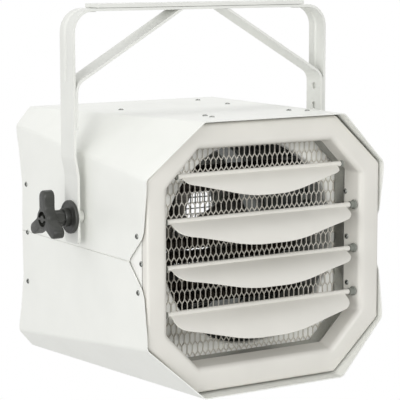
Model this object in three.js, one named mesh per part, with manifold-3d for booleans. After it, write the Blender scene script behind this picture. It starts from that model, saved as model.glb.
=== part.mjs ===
// Ceiling mounted fan heater: an octagonal sheet-steel housing hangs in a U-shaped yoke under a
// ceiling bar, tilts between two hand knobs and blows through four hinged louvres.
// Millimetres, +Z up. X is the width, +Y points from the outlet to the rear intake.
import * as THREE from 'three';
import { mergeVertices } from 'three/addons/utils/BufferGeometryUtils.js';
import Module from 'manifold-3d';

// ---------------------------------------------------------------- driving dimensions
// Heights below are measured from the housing's mid height, depths from its front edge.
const BAR_TOP = 271;          // ceiling face of the bar above the housing's mid height
const SHELL_DEPTH = 322;
const SHEET = 1.2;            // housing sheet steel
const BEND = 8;               // outside bend radius of the shells
const FRONT = { a: 159, b: 150, cx: 66, cz: 60.5 };      // half width, half height, corner cuts
const REAR = { a: 150, b: 145.6, cx: 18.4, cz: 21.2 };
const CORNER_SETBACK = 11.8;  // how far the side corners stand behind the top front edge
const SEAM = 0.3;             // upper shell's edge above mid height
const LAP_INSET = 1.5;        // the lower shell's lap lies this far inside the upper shell
const LAP_HEIGHT = 8;

const FACE_Y = 15.5;          // bezel face
const LIP_Y = 41;             // rear edge of the bezel's drawn wall
const FLANGE_Y = 25.7;        // rear edge of the bezel's outer flange
const BEZEL_GAP = 3.6;         // from the shell's outside to the bezel's outside
const OPENING = { a: 130.5, b: 120.5, cx: 42, cz: 42 };
const LIP = { a: 124.5, b: 116, cx: 33.5, cz: 33.5 };
const FIT_GAP = 0.3;          // between parts that sit against each other

const THROAT_REAR = 61;       // rear face of the outlet throat's clamping flange
const THROAT_FLANGE = 9;
const MESH_Y = THROAT_REAR + FIT_GAP;
const MESH_THICK = 1;
const MESH_PITCH_X = 24.2;
const MESH_PITCH_Z = 42.7;
const MESH_STRAND = 3;
const MESH_CLAMPED = 8;       // how far the mesh plate reaches out between flange and baffle

const LOUVRE_AXIS_Y = 24.6;
// Distance from a blade's middle and the share of its full length there, out to its end.
const LONG_BELLY = [[0, 1], [18, 1], [33, 0.97], [46, 0.92], [60, 0.84], [74, 0.755], [88, 0.67],
  [101, 0.6], [109.5, 0.54], [117, 0.46]];
const SHORT_BELLY = [[0, 1], [20, 0.99], [34, 0.93], [47, 0.85], [58, 0.76], [72, 0.65], [90, 0.49],
  [98, 0.42], [103, 0.37]];
// Ends of the bead, middle of the blade; bushes as length and radius, some on a neck.
const LONG_LOUVRE = { ends: [-125.5, 119.5], middle: -5, length: 42, belly: LONG_BELLY,
  left: { long: 1.2, radius: 3.8 }, right: { neck: 4.6, long: 6.8, radius: 6 } };
const SHORT_LOUVRE = { ends: [-112, 106], middle: -4.5, length: 33, belly: SHORT_BELLY,
  left: { long: 1.2, radius: 3.6 }, right: { long: 2.4, radius: 3.6 } };
const LOUVRES = [
  { z: 90.3, tilt: 40, ...SHORT_LOUVRE },
  { z: 42.4, tilt: 45, ...LONG_LOUVRE },
  { z: -7.6, tilt: 50, ...LONG_LOUVRE },
  { z: -57.6, tilt: 37, ...LONG_LOUVRE },
];
const BEAD_RADIUS = 3;
const BLADE_THICK = 1;
const BLADE_ARCH = 5;
const PIN_RADIUS = 1.6;
const BUSH_NECK = 4;

const PIVOT_Y = 156;
const PIVOT_Z = 36;
const STRAP_WIDTH = 29.4;
const STRAP_THICK = 3;
const LEG_OUTER = 172;        // half width over the upper legs
const LEG_LOWER = 168;        // half width over the lower legs, below the joggle
const YOKE_TOP = 266;         // top face of the yoke's cross part
const BEND_RADIUS = 26;
const BAR_HALF = 140;
const PIVOT_HOLE = 5;
const STUD_RADIUS = 4.7;
const RIVET_RADIUS = 3;
const BAR_RIVETS = [-100, -52, 52, 100];
const PLUG_HOLES = [168, 145]; // heights of the two plug holes in each brace's tab
const CEILING_HOLES = [-118, -16, 16, 118];
const CEILING_HOLE_RADIUS = 4.5;
const GROOVE = 1.4;           // depth of the bead pressed into the legs and bends

const KNOB_FACE = 205;        // half width over the two hand knobs
const KNOB_TIP = 32;
const KNOB_HUB = 13.5;
const ARM_HALF = 6.4;
const ARM_DEPTH = 13;
const NECK_RADIUS = 9;
const COLLAR_RADIUS = 10.5;
const WASHER_RADIUS = 18.6;
const SPACER_RADIUS = 7;
const WASHER_THICK = 4;
const KNOB_FOOT = LEG_LOWER + WASHER_THICK + 2 * FIT_GAP;
const STUD_REACH = 14;        // how far the stud screws into the knob

const DUCT_RADIUS = 120;
const DUCT_REAR = 240;
const DUCT_Z = -4;            // fan axis, slightly under mid height
const MOUTH = { x: 10, z: 4, radius: 115 };   // round mouth of the white baffle plate
const BAFFLE_Y = 64;
const BULKHEAD_Y = 190;
const PANEL_Y = 306;
const GUARD_PITCH = 31;
const GUARD_BAR = 3;
const FAN_RADIUS = 112;
const FAN_BLADES = 4;
const FAN_PHASE = 1.48;       // angle of the first blade's middle
const FAN_Y = 216;
const HUB_HALF = 14;
const SHAFT_RADIUS = 4;
const MOTOR_FRONT = 252;
const MOTOR_REAR = 292;
const TRAY_Z = -140;
const TRAY_FRONT = 246;
const TRAY_DEPTH = 40;
const ELEMENT_Z = [71, -10, -58];
const ELEMENT_Y = 130;
const ELEMENT_RADIUS = 5.5;
const ELEMENT_BEND = 8;
const SUPPORT_X = 112;
const GLAND = { x: -106, z: -106, thread: 8, bore: 5, collar: 11, nut: 12 };

const WHITE = 0xeeefea;
const WARM = 0xdedbd3;
const BRACKET = 0xdcddd7;
const DARK = 0x3a3b38;
const BUSH_GREY = 0x6b6e69;
const STEEL = 0xb4b6b4;

// ---------------------------------------------------------------- solids from point grids
const wasm = await Module();
wasm.setup();

function meshFrom(points, triangles) {
  const geometry = new THREE.BufferGeometry();
  geometry.setAttribute('position', new THREE.Float32BufferAttribute(points.flat(), 3));
  geometry.setIndex(triangles.flat());
  let volume = 0;
  for (const [i, j, k] of triangles) {
    const a = new THREE.Vector3(...points[i]);
    const b = new THREE.Vector3(...points[j]);
    const c = new THREE.Vector3(...points[k]);
    volume += a.dot(b.cross(c));
  }
  if (volume < 0) geometry.setIndex(triangles.map(([i, j, k]) => [i, k, j]).flat());
  return geometry;
}

// A sheet between two grids of points of the same size, rows first.
function sheet(outer, inner) {
  const rows = outer.length;
  const cols = outer[0].length;
  const points = [...outer.flat(), ...inner.flat()];
  const at = (side, i, j) => side * rows * cols + i * cols + j;
  const triangles = [];
  const quad = (a, b, c, d) => triangles.push([a, b, c], [a, c, d]);
  for (let i = 0; i < rows - 1; i++) {
    for (let j = 0; j < cols - 1; j++) {
      quad(at(0, i, j), at(0, i + 1, j), at(0, i + 1, j + 1), at(0, i, j + 1));
      quad(at(1, i, j), at(1, i, j + 1), at(1, i + 1, j + 1), at(1, i + 1, j));
    }
    quad(at(0, i, 0), at(1, i, 0), at(1, i + 1, 0), at(0, i + 1, 0));
    quad(at(0, i, cols - 1), at(0, i + 1, cols - 1), at(1, i + 1, cols - 1), at(1, i, cols - 1));
  }
  for (let j = 0; j < cols - 1; j++) {
    quad(at(0, 0, j), at(0, 0, j + 1), at(1, 0, j + 1), at(1, 0, j));
    quad(at(0, rows - 1, j), at(1, rows - 1, j), at(1, rows - 1, j + 1), at(0, rows - 1, j + 1));
  }
  return meshFrom(points, triangles);
}

// A closed frame whose section runs through a list of rings, each ring a closed loop of points.
function frameOf(rings) {
  const count = rings[0].length;
  const triangles = [];
  for (let i = 0; i < rings.length; i++) {
    const next = (i + 1) % rings.length;
    for (let j = 0; j < count; j++) {
      const k = (j + 1) % count;
      triangles.push([i * count + j, next * count + j, next * count + k]);
      triangles.push([i * count + j, next * count + k, i * count + k]);
    }
  }
  return meshFrom(rings.flat(), triangles);
}

// ---------------------------------------------------------------- joins and cuts
function toSolid(geometry) {
  const bare = geometry.clone();
  bare.deleteAttribute('normal');
  bare.deleteAttribute('uv');
  const merged = mergeVertices(bare, 1e-4);
  const triVerts = new Uint32Array(merged.index.array);
  const vertProperties = new Float32Array(merged.attributes.position.array);
  return new wasm.Manifold(new wasm.Mesh({ numProp: 3, vertProperties, triVerts }));
}

function fromSolid(solid) {
  const mesh = solid.getMesh();
  const geometry = new THREE.BufferGeometry();
  geometry.setAttribute('position', new THREE.BufferAttribute(mesh.vertProperties, 3));
  geometry.setIndex(new THREE.BufferAttribute(mesh.triVerts, 1));
  return geometry;
}

function join(...geometries) {
  return fromSolid(geometries.map(toSolid).reduce((a, b) => a.add(b)));
}

function cut(base, ...tools) {
  return fromSolid(tools.map(toSolid).reduce((a, b) => a.subtract(b), toSolid(base)));
}

// ---------------------------------------------------------------- plain shapes
function boxAt(w, d, h, x, y, z) {
  return new THREE.BoxGeometry(w, d, h).translate(x, y, z);
}

function rodX(radius, x0, x1, y, z, sides = 16) {
  const rod = new THREE.CylinderGeometry(radius, radius, x1 - x0, sides);
  return rod.rotateZ(Math.PI / 2).translate((x0 + x1) / 2, y, z);
}

function rodY(radius, y0, y1, x, z, sides = 16) {
  return new THREE.CylinderGeometry(radius, radius, y1 - y0, sides).translate(x, (y0 + y1) / 2, z);
}

function rodZ(radius, z0, z1, x, y, sides = 16) {
  const rod = new THREE.CylinderGeometry(radius, radius, z1 - z0, sides);
  return rod.rotateX(Math.PI / 2).translate(x, y, (z0 + z1) / 2);
}

// A turned profile of [radius, along] pairs, its axis along X and starting at x0.
function turnedX(profile, x0, y, z, sides = 24) {
  const points = profile.map(([r, along]) => new THREE.Vector2(r, along));
  const lathe = new THREE.LatheGeometry(points, sides);
  return meshCheck(lathe.rotateZ(-Math.PI / 2).translate(x0, y, z));
}

function turnedY(profile, x, z, sides = 24) {
  const points = profile.map(([r, along]) => new THREE.Vector2(r, along));
  return meshCheck(new THREE.LatheGeometry(points, sides).translate(x, 0, z));
}

// Merged vertices, no collapsed triangles, faces pointing out.
function meshCheck(geometry) {
  const bare = geometry.clone();
  bare.deleteAttribute('normal');
  bare.deleteAttribute('uv');
  const merged = mergeVertices(bare, 1e-4);
  const position = merged.attributes.position;
  const points = [];
  for (let i = 0; i < position.count; i++) {
    points.push([position.getX(i), position.getY(i), position.getZ(i)]);
  }
  const index = merged.index.array;
  const triangles = [];
  for (let i = 0; i < index.length; i += 3) {
    const [a, b, c] = [index[i], index[i + 1], index[i + 2]];
    if (a !== b && b !== c && a !== c) triangles.push([a, b, c]);
  }
  return meshFrom(points, triangles);
}

// An outline in the X-Z plane, extruded from y0 towards the rear.
function plateY(shape, y0, thick) {
  const plate = new THREE.ExtrudeGeometry(shape, { depth: thick, bevelEnabled: false });
  return plate.rotateX(Math.PI / 2).translate(0, y0 + thick, 0);
}

function circlePoints(radius, count) {
  const points = [];
  for (let i = 0; i < count; i++) {
    const angle = (i / count) * Math.PI * 2;
    points.push([radius * Math.cos(angle), radius * Math.sin(angle)]);
  }
  return points;
}

function shapeOf(points) {
  return new THREE.Shape(points.map(([x, z]) => new THREE.Vector2(x, z)));
}

// ---------------------------------------------------------------- octagon sections
const mix = (a, b, t) => a + (b - a) * t;

function shellSection(y) {
  const t = y / SHELL_DEPTH;
  const section = {};
  for (const key of ['a', 'b', 'cx', 'cz']) section[key] = mix(FRONT[key], REAR[key], t);
  return section;
}

// The same octagon with every side moved inwards by d.
function inset(o, d) {
  const reach = o.cz * o.a + o.cx * (o.b - o.cz) - d * Math.hypot(o.cx, o.cz);
  const a = o.a - d;
  const b = o.b - d;
  return { a, b, cx: a - (reach - o.cx * b) / o.cz, cz: b - (reach - o.cz * a) / o.cx };
}

function cornersOf(o) {
  const quarter = [[o.a, o.b - o.cz], [o.a - o.cx, o.b]];
  const upper = [...quarter, ...quarter.map(([x, z]) => [-x, z]).reverse()];
  return [...upper, ...upper.map(([x, z]) => [-x, -z])];
}

// One rounded corner between its neighbours, as steps + 1 points.
function fillet(before, corner, after, radius, steps) {
  const d1 = [corner[0] - before[0], corner[1] - before[1]];
  const d2 = [after[0] - corner[0], after[1] - corner[1]];
  const turn = Math.atan2(d1[0] * d2[1] - d1[1] * d2[0], d1[0] * d2[0] + d1[1] * d2[1]);
  const length = Math.hypot(...d1);
  const u = [d1[0] / length, d1[1] / length];
  const reach = radius * Math.tan(turn / 2);
  const centre = [corner[0] - u[0] * reach - u[1] * radius, corner[1] - u[1] * reach + u[0] * radius];
  const points = [];
  for (let i = 0; i <= steps; i++) {
    const angle = (turn * i) / steps;
    const [c, s] = [Math.cos(angle), Math.sin(angle)];
    const [x, z] = [u[1] * radius, -u[0] * radius];
    points.push([centre[0] + x * c - z * s, centre[1] + x * s + z * c]);
  }
  return points;
}

function octagonRing(o, radius, steps = 2) {
  const corners = cornersOf(o);
  return corners.flatMap((corner, i) =>
    fillet(corners[(i + 7) % 8], corner, corners[(i + 1) % 8], radius, steps));
}

// The same ring with extra points along its sides, so that a round ring can follow it.
// The ring's runs come as corner, chamfer, corner, straight side.
const EXTRA_POINTS = [0, 1, 0, 5];

function guideRing(o, radius) {
  const ring = octagonRing(o, radius, 1);
  return ring.flatMap((point, i) => {
    const next = ring[(i + 1) % ring.length];
    const pieces = EXTRA_POINTS[i % 4] + 1;
    const points = [];
    for (let k = 0; k < pieces; k++) {
      points.push([mix(point[0], next[0], k / pieces), mix(point[1], next[1], k / pieces)]);
    }
    return points;
  });
}

const lift = (ring, y) => ring.map(([x, z]) => [x, y, z]);

// A circle with one point in the direction of each point of a guide ring.
function circleLike(guide, radius, x0, z0) {
  return guide.map(([x, z]) => {
    const angle = Math.atan2(z - z0, x - x0);
    return [x0 + radius * Math.cos(angle), z0 + radius * Math.sin(angle)];
  });
}

// ---------------------------------------------------------------- housing shells
// Depth of the side's front and rear edges against height.
const FRONT_EDGE = [[0, 51.6], [27, 22.4], [35, 18.3], [70, 13.2], [81, 11.7], [90, CORNER_SETBACK]];
const REAR_EDGE = [[0, 309.8], [54, 308], [83, 313.5], [95, 315.6], [106.5, 319], [116, 321.4],
  [124, SHELL_DEPTH]];
const SIDE_STATIONS = [0, 0.15, 0.31, 0.42, 0.52, 0.64, 0.76, 0.86, 0.93, 1];
const SHELL_ROWS = 4;

function tableAt(table, z) {
  for (let i = 1; i < table.length; i++) {
    if (z <= table[i][0]) {
      const t = (z - table[i - 1][0]) / (table[i][0] - table[i - 1][0]);
      return mix(table[i - 1][1], table[i][1], t);
    }
  }
  return table.at(-1)[1];
}

// The upper half's points from the right seam over the top to the left seam, at depth y.
function halfRing(y, d) {
  const o = inset(shellSection(y), d);
  const ring = octagonRing(o, BEND - d, 3).slice(0, 16);
  const start = ring[0][1];
  const right = SIDE_STATIONS.slice(0, -1).map((s) => [o.a, mix(SEAM, start, s)]);
  const left = right.map(([x, z]) => [-x, z]).reverse();
  return [...right, ...ring, ...left];
}

const STATION_COUNT = halfRing(0, 0).length;

// Where a station's line meets the side's edge table.
function edgeDepth(table, station) {
  let y = table[0][1];
  for (let i = 0; i < 12; i++) y = tableAt(table, Math.abs(halfRing(y, 0)[station][1]));
  return y;
}

function shellEdges() {
  const side = SIDE_STATIONS.length - 1;
  const edges = [];
  for (let i = 0; i < STATION_COUNT; i++) {
    const m = Math.min(i, STATION_COUNT - 1 - i);
    if (m <= side) {
      edges.push([edgeDepth(FRONT_EDGE, m), edgeDepth(REAR_EDGE, m)]);
    } else {
      const slope = m <= side + 3 ? CORNER_SETBACK : 0;
      edges.push([slope, SHELL_DEPTH]);
    }
  }
  return edges;
}

function shellGrid(d, flip) {
  return shellEdges().map(([front, rear], i) => {
    const row = [];
    for (let k = 0; k <= SHELL_ROWS; k++) {
      const y = mix(front, rear, k / SHELL_ROWS);
      const [x, z] = halfRing(y, d)[i];
      row.push([x, y, z * flip]);
    }
    return row;
  });
}

// Extra stations that carry the lower shell's edge inwards and up behind the upper shell.
function lapGrid(d, side) {
  const [front, rear] = shellEdges()[0];
  const stations = [[LAP_INSET, LAP_HEIGHT], [LAP_INSET, 0], [0, -0.8]];
  return stations.map(([inward, z]) => {
    const row = [];
    for (let k = 0; k <= SHELL_ROWS; k++) {
      const y = mix(front + 2, rear, k / SHELL_ROWS);
      row.push([side * (shellSection(y).a - inward - d), y, z]);
    }
    return row;
  });
}

function upperShell() {
  const studs = rodX(PIVOT_HOLE + FIT_GAP, -LEG_OUTER, LEG_OUTER, PIVOT_Y, PIVOT_Z);
  return cut(sheet(shellGrid(0, 1), shellGrid(SHEET, 1)), studs);
}

function lowerShell() {
  const grid = (d) => {
    const body = shellGrid(d, -1).slice(1, -1);
    return [...lapGrid(d, 1), ...body, ...lapGrid(d, -1).reverse()];
  };
  return sheet(grid(0), grid(SHEET));
}

// ---------------------------------------------------------------- bezel and mesh
function frontBezel() {
  const front = inset(shellSection(FACE_Y), BEZEL_GAP);
  const edge = inset(front, 1.3);
  const rings = [
    lift(octagonRing(front, 6), FLANGE_Y),
    lift(octagonRing(front, 6), FACE_Y + 1.3),
    lift(octagonRing(edge, 5.4), FACE_Y),
    lift(octagonRing(OPENING, 6), FACE_Y),
    lift(octagonRing(inset(OPENING, 1), 6), FACE_Y + 1),
    lift(octagonRing(LIP, 6), LIP_Y),
    lift(octagonRing(inset(LIP, -SHEET), 6.8), LIP_Y),
    lift(octagonRing(inset(OPENING, -0.6), 6.8), FACE_Y + SHEET + 1),
    lift(octagonRing(inset(OPENING, -1.4), 7), FACE_Y + SHEET),
    lift(octagonRing(inset(edge, 0.6), 4.8), FACE_Y + SHEET),
    lift(octagonRing(inset(front, SHEET), 4.8), FACE_Y + SHEET + 0.8),
    lift(octagonRing(inset(front, SHEET), 4.8), FLANGE_Y),
  ];
  return frameOf(rings);
}

// The part of a convex outline that lies inside another; both run counterclockwise.
function clipTo(outline, limit) {
  let points = outline;
  limit.forEach(([x0, z0], i) => {
    const [x1, z1] = limit[(i + 1) % limit.length];
    const side = ([x, z]) => (x1 - x0) * (z - z0) - (z1 - z0) * (x - x0);
    points = points.flatMap((point, j) => {
      const next = points[(j + 1) % points.length];
      const [here, there] = [side(point), side(next)];
      const kept = here >= 0 ? [point] : [];
      if (here * there < 0) {
        const t = here / (here - there);
        kept.push([mix(point[0], next[0], t), mix(point[1], next[1], t)]);
      }
      return kept;
    });
  });
  return points;
}

function areaOf(points) {
  return points.reduce((sum, [x, z], i) => {
    const [x1, z1] = points[(i + 1) % points.length];
    return sum + (x * z1 - x1 * z) / 2;
  }, 0);
}

// The grid places of a net, one cell at each; odd rows may be shifted by part of a cell.
function netPlaces(columns, rows, pitchX, pitchZ, shift, z0) {
  const places = [];
  for (let row = -rows; row <= rows; row++) {
    for (let col = -columns; col <= columns; col++) {
      places.push([(col + (row % 2 ? shift : 0)) * pitchX, row * pitchZ + z0]);
    }
  }
  return places;
}

// Prisms for the openings of a flat net: one outline at every place, clipped to a limit.
const LEAST_OPENING = 40;

function netOpenings(outline, places, limit, y, thick) {
  return places
    .map(([x0, z0]) => clipTo(outline.map(([x, z]) => [x0 + x, z0 + z]), limit))
    .filter((points) => points.length > 2 && areaOf(points) > LEAST_OPENING)
    .map((points) => plateY(shapeOf(points), y - thick, 3 * thick));
}

function frontMesh() {
  const w = (MESH_PITCH_X - MESH_STRAND) / 2;
  const tall = MESH_PITCH_Z / 2 + MESH_STRAND;
  const short = MESH_PITCH_Z / 2 - 2 * MESH_STRAND;
  const hexagon = [[w, -short], [w, short], [0, tall], [-w, short], [-w, -short], [0, -tall]];
  const places = netPlaces(7, 3, MESH_PITCH_X, MESH_PITCH_Z, 0.5, 0);
  const limit = cornersOf(inset(LIP, 1));
  const plate = plateY(shapeOf(octagonRing(inset(LIP, -MESH_CLAMPED), 6, 1)), MESH_Y, MESH_THICK);
  return cut(plate, ...netOpenings(hexagon, places, limit, MESH_Y, MESH_THICK));
}

// The ring wall behind the bezel's lip, with a flange at its rear that clamps the mesh.
function outletThroat() {
  const front = LIP_Y + FIT_GAP;
  const outer = inset(LIP, -SHEET);
  const flange = inset(LIP, -THROAT_FLANGE);
  return frameOf([
    lift(octagonRing(LIP, 6), front),
    lift(octagonRing(LIP, 6), THROAT_REAR),
    lift(octagonRing(flange, 7), THROAT_REAR),
    lift(octagonRing(flange, 7), THROAT_REAR - SHEET),
    lift(octagonRing(outer, 6.8), THROAT_REAR - SHEET),
    lift(octagonRing(outer, 6.8), front),
  ]);
}

// ---------------------------------------------------------------- louvres
// A blade hanging from its bead along X, turned about the bead by its rest tilt.
function louvre({ ends, middle, tilt, length, belly, left, right }) {
  const half = belly.at(-1)[0];
  const stations = [];
  const count = 14;
  for (let i = 0; i <= count; i++) stations.push(-half * Math.cos((Math.PI * i) / count));
  const grid = (offset) => stations.map((x) => {
    const reach = length * tableAt(belly, Math.abs(x));
    const row = [];
    for (let k = 0; k <= 3; k++) {
      const s = mix(1, reach, k / 3);
      const arch = BLADE_ARCH * Math.sin((Math.PI * s) / (length * 1.15));
      row.push([middle + x, offset - arch, -s]);
    }
    return row;
  });
  const blade = sheet(grid(-BLADE_THICK / 2), grid(BLADE_THICK / 2));
  const rod = rodX(BEAD_RADIUS, ends[0], ends[1], 0, 0, 10);
  const pins = rodX(PIN_RADIUS, ends[0] - left.long, ends[1] + right.long, 0, 0, 8);
  return join(blade, rod, pins).rotateX((-tilt * Math.PI) / 180);
}

// A bush along +X that begins just past the bead's end and reaches to the bezel's drawn wall.
function louvreBush(beadEnd, { neck = 0, long, radius }) {
  const bore = PIN_RADIUS + FIT_GAP;
  const stem = neck > 0 ? [[BUSH_NECK, 0], [BUSH_NECK, neck]] : [];
  const profile = [[bore, 0], ...stem, [radius, neck], [radius, long], [bore, long], [bore, 0]];
  return turnedX(profile, beadEnd + FIT_GAP, 0, 0, 12);
}

// ---------------------------------------------------------------- inside the housing
const WALL_INSET = SHEET + LAP_INSET + FIT_GAP;

// An octagonal pan with a round mouth: wall from y0 to y1, plate at y1, lip of length reach.
function roundMouthPan(y0, y1, { x, z, radius }, reach) {
  const dir = Math.sign(y0 - y1);
  const wall = (y, d) => guideRing(inset(shellSection(y), WALL_INSET + d), 5);
  const guide = wall(y1, 0);
  const circle = (r) => circleLike(guide, r, x, z);
  return frameOf([
    lift(wall(y0, 0), y0),
    lift(wall(y1, 0), y1),
    lift(circle(radius + SHEET), y1),
    lift(circle(radius + SHEET), y1 - dir * reach),
    lift(circle(radius), y1 - dir * reach),
    lift(circle(radius), y1 + dir * SHEET),
    lift(wall(y1, SHEET), y1 + dir * SHEET),
    lift(wall(y0, SHEET), y0),
  ]);
}

// The ring round the fan: it sits over the bulkhead's lip, with a flange against its plate.
function fanShroud() {
  const front = BULKHEAD_Y + FIT_GAP;
  const inner = DUCT_RADIUS + SHEET + FIT_GAP;
  const [outer, flange] = [inner + SHEET, inner + 11];
  return turnedY([[inner, front], [flange, front], [flange, front + SHEET],
    [outer, front + SHEET], [outer, DUCT_REAR], [inner, DUCT_REAR], [inner, front]], 0, DUCT_Z, 48);
}

function rearGuard() {
  const [front, thick] = [PANEL_Y + 2 + FIT_GAP, 2];
  const half = (GUARD_PITCH - GUARD_BAR) / 2;
  const square = [[half, -half], [half, half], [-half, half], [-half, -half]];
  const places = netPlaces(4, 4, GUARD_PITCH, GUARD_PITCH, 0, DUCT_Z);
  const limit = circlePoints(DUCT_RADIUS - 2, 24).map(([x, z]) => [x, z + DUCT_Z]);
  const plate = rodY(DUCT_RADIUS + 4, front, front + thick, 0, DUCT_Z, 40);
  return cut(plate, ...netOpenings(square, places, limit, front, thick));
}

// A hairpin tube: two straight runs joined by a half turn in an upright plane.
function heatingElement(z) {
  const [run, sides, steps] = [SUPPORT_X + 4, 8, 8];
  const path = [[-run, ELEMENT_BEND, 0, 1]];
  for (let i = 0; i <= steps; i++) {
    const angle = Math.PI / 2 - (i / steps) * Math.PI;
    const [c, s] = [Math.cos(angle), Math.sin(angle)];
    path.push([run + ELEMENT_BEND * c, ELEMENT_BEND * s, c, s]);
  }
  path.push([-run, -ELEMENT_BEND, 0, -1]);
  const ring = circlePoints(ELEMENT_RADIUS, sides);
  const points = path.flatMap(([x, h, nx, nz]) =>
    ring.map(([p, q]) => [x + nx * p, ELEMENT_Y + q, z + h + nz * p]));
  return meshFrom(points, tubeFaces(path.length, sides));
}

function tubeFaces(count, sides) {
  const triangles = [];
  for (let i = 0; i < count - 1; i++) {
    for (let j = 0; j < sides; j++) {
      const k = (j + 1) % sides;
      const [a, b] = [i * sides, (i + 1) * sides];
      triangles.push([a + j, b + j, b + k], [a + j, b + k, a + k]);
    }
  }
  const last = (count - 1) * sides;
  for (let j = 1; j < sides - 1; j++) triangles.push([0, j, j + 1], [last, last + j + 1, last + j]);
  return triangles;
}

// A hat-shaped strip: web across the air stream, arms out to the shell's side.
function elementSupport(side) {
  const [t, web, wall, tall, arm, width] = [1.5, SUPPORT_X, 152, 86, 12, 36];
  const outline = [[wall, tall], [wall, tall + arm], [wall - t, tall + arm], [wall - t, tall],
    [web, tall], [web, -tall], [wall - t, -tall], [wall - t, -tall - arm], [wall, -tall - arm],
    [wall, -tall + t], [web + t, -tall + t], [web + t, tall - t], [wall, tall - t]];
  const ordered = side > 0 ? outline : outline.map(([x, z]) => [-x, z]).reverse();
  const strip = plateY(shapeOf(ordered), ELEMENT_Y - width / 2, width);
  const runs = ELEMENT_Z.flatMap((z) => [z + ELEMENT_BEND, z - ELEMENT_BEND]);
  const holes = runs.map((z) =>
    rodX(ELEMENT_RADIUS + 2 * FIT_GAP, side * web - 8, side * web + 8, ELEMENT_Y, z, 8));
  return cut(strip, ...holes);
}

function fanBlades() {
  const hub = rodY(24, FAN_Y - HUB_HALF, FAN_Y + HUB_HALF, 0, 0, 20);
  const parts = [hub];
  for (let b = 0; b < FAN_BLADES; b++) {
    const turn = FAN_PHASE + (b / FAN_BLADES) * Math.PI * 2;
    const grid = (offset) => [0, 1, 2, 3].map((i) => {
      const r = mix(20, FAN_RADIUS, i / 3);
      const spread = mix(0.34, 0.37, i / 3);
      const pitch = mix(12, 15, i / 3);
      return [-1, -0.5, 0, 0.5, 1].map((c) => {
        const angle = turn + c * spread + 0.12 * (i / 3);
        const camber = 4 * (1 - c * c);
        return [r * Math.cos(angle), FAN_Y + c * pitch - camber + offset, r * Math.sin(angle)];
      });
    });
    parts.push(sheet(grid(-0.8), grid(0.8)));
  }
  const bore = rodY(SHAFT_RADIUS + FIT_GAP, FAN_Y - 20, FAN_Y + 20, 0, 0, 12);
  return cut(join(...parts), bore).translate(0, 0, DUCT_Z);
}

function hubNut() {
  const back = FAN_Y - HUB_HALF - FIT_GAP;
  const profile = [[0, back - 8], [5, back - 7], [9, back - 4], [9, back], [0, back]];
  return turnedY(profile, 0, DUCT_Z, 8);
}

function motor() {
  const [boss, shoulder, body, edge] = [12, 4, 38, 4];
  const face = MOTOR_FRONT + shoulder;
  return turnedY([[0, MOTOR_FRONT], [boss, MOTOR_FRONT], [boss, face], [body - edge, face],
    [body, face + edge], [body, MOTOR_REAR - edge], [body - edge, MOTOR_REAR], [0, MOTOR_REAR]],
  0, DUCT_Z, 28);
}

// A bowed strap across the rear opening that carries the motor.
function motorMount() {
  const [half, w, t, foot] = [124, 20, 2.5, 16];
  const [wall, seat] = [PANEL_Y - 4, MOTOR_REAR + FIT_GAP];
  const profile = [[-half, wall], [-half + foot, wall], [-54, seat], [54, seat],
    [half - foot, wall], [half, wall]];
  const grid = (dy) => profile.map(([z, y]) => [-w, w].map((x) => [x, y + dy, z + DUCT_Z]));
  return sheet(grid(0), grid(t));
}

// Shelf across the bottom rear for the wiring parts, its front edge turned up.
function controlTray() {
  const [half, lip] = [104, 14];
  const profile = [[TRAY_FRONT, TRAY_Z + lip], [TRAY_FRONT, TRAY_Z], [TRAY_FRONT + TRAY_DEPTH, TRAY_Z]];
  const lifted = (d) => profile.map(([y, z], i) => [y + (i < 2 ? d : 0), z + (i > 0 ? d : 0)]);
  const grid = (d) => lifted(d).map(([y, z]) => [-half, half].map((x) => [x, y, z]));
  return sheet(grid(0), grid(SHEET));
}

const TRAY_TOP = TRAY_Z + SHEET + FIT_GAP;
const TRAY_MIDDLE = TRAY_FRONT + 22;

function terminalBlock() {
  const [x, width, depth, tall] = [-58, 64, 18, 16];
  const base = boxAt(width, depth, tall, x, TRAY_MIDDLE, TRAY_TOP + tall / 2);
  const slots = [-24, -8, 8, 24].map((dx) => boxAt(10, 8, 8, x + dx, TRAY_MIDDLE, TRAY_TOP + tall));
  return cut(base, ...slots);
}

function contactor() {
  const [x, width, side] = [78, 40, 30];
  const body = boxAt(width, side, side, x, TRAY_MIDDLE, TRAY_TOP + side / 2);
  const steps = [-1, 1].map((end) =>
    boxAt(width + 2, 7, 8, x, TRAY_MIDDLE + end * 12, TRAY_TOP + side - 2));
  return cut(body, ...steps);
}

// A limit switch: flat can with a raised cap on a small plate.
function thermostat() {
  const back = BULKHEAD_Y - SHEET - FIT_GAP;
  const profile = [[0, back - 8], [6, back - 8], [6, back - 5], [9, back - 5], [9, back], [0, back]];
  return turnedY(profile, 108, 100, 12);
}

function cableGland() {
  const [inside, outside, seat] = [PANEL_Y - 10, PANEL_Y + 6, PANEL_Y - SHEET - FIT_GAP];
  return turnedY([[GLAND.bore, inside], [GLAND.collar, inside], [GLAND.collar, seat],
    [GLAND.thread, seat], [GLAND.thread, outside], [GLAND.bore, outside], [GLAND.bore, inside]],
  GLAND.x, GLAND.z, 12);
}

function glandNut() {
  const inner = GLAND.thread + FIT_GAP;
  const [front, cone, rear] = [PANEL_Y + FIT_GAP, PANEL_Y + 7, PANEL_Y + 11];
  const step = PANEL_Y + 6 + FIT_GAP;
  return turnedY([[inner, front], [GLAND.nut, front], [GLAND.nut, cone], [8.6, rear],
    [GLAND.bore + 1, rear], [GLAND.bore + 1, step], [inner, step], [inner, front]],
  GLAND.x, GLAND.z, 12);
}

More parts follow.
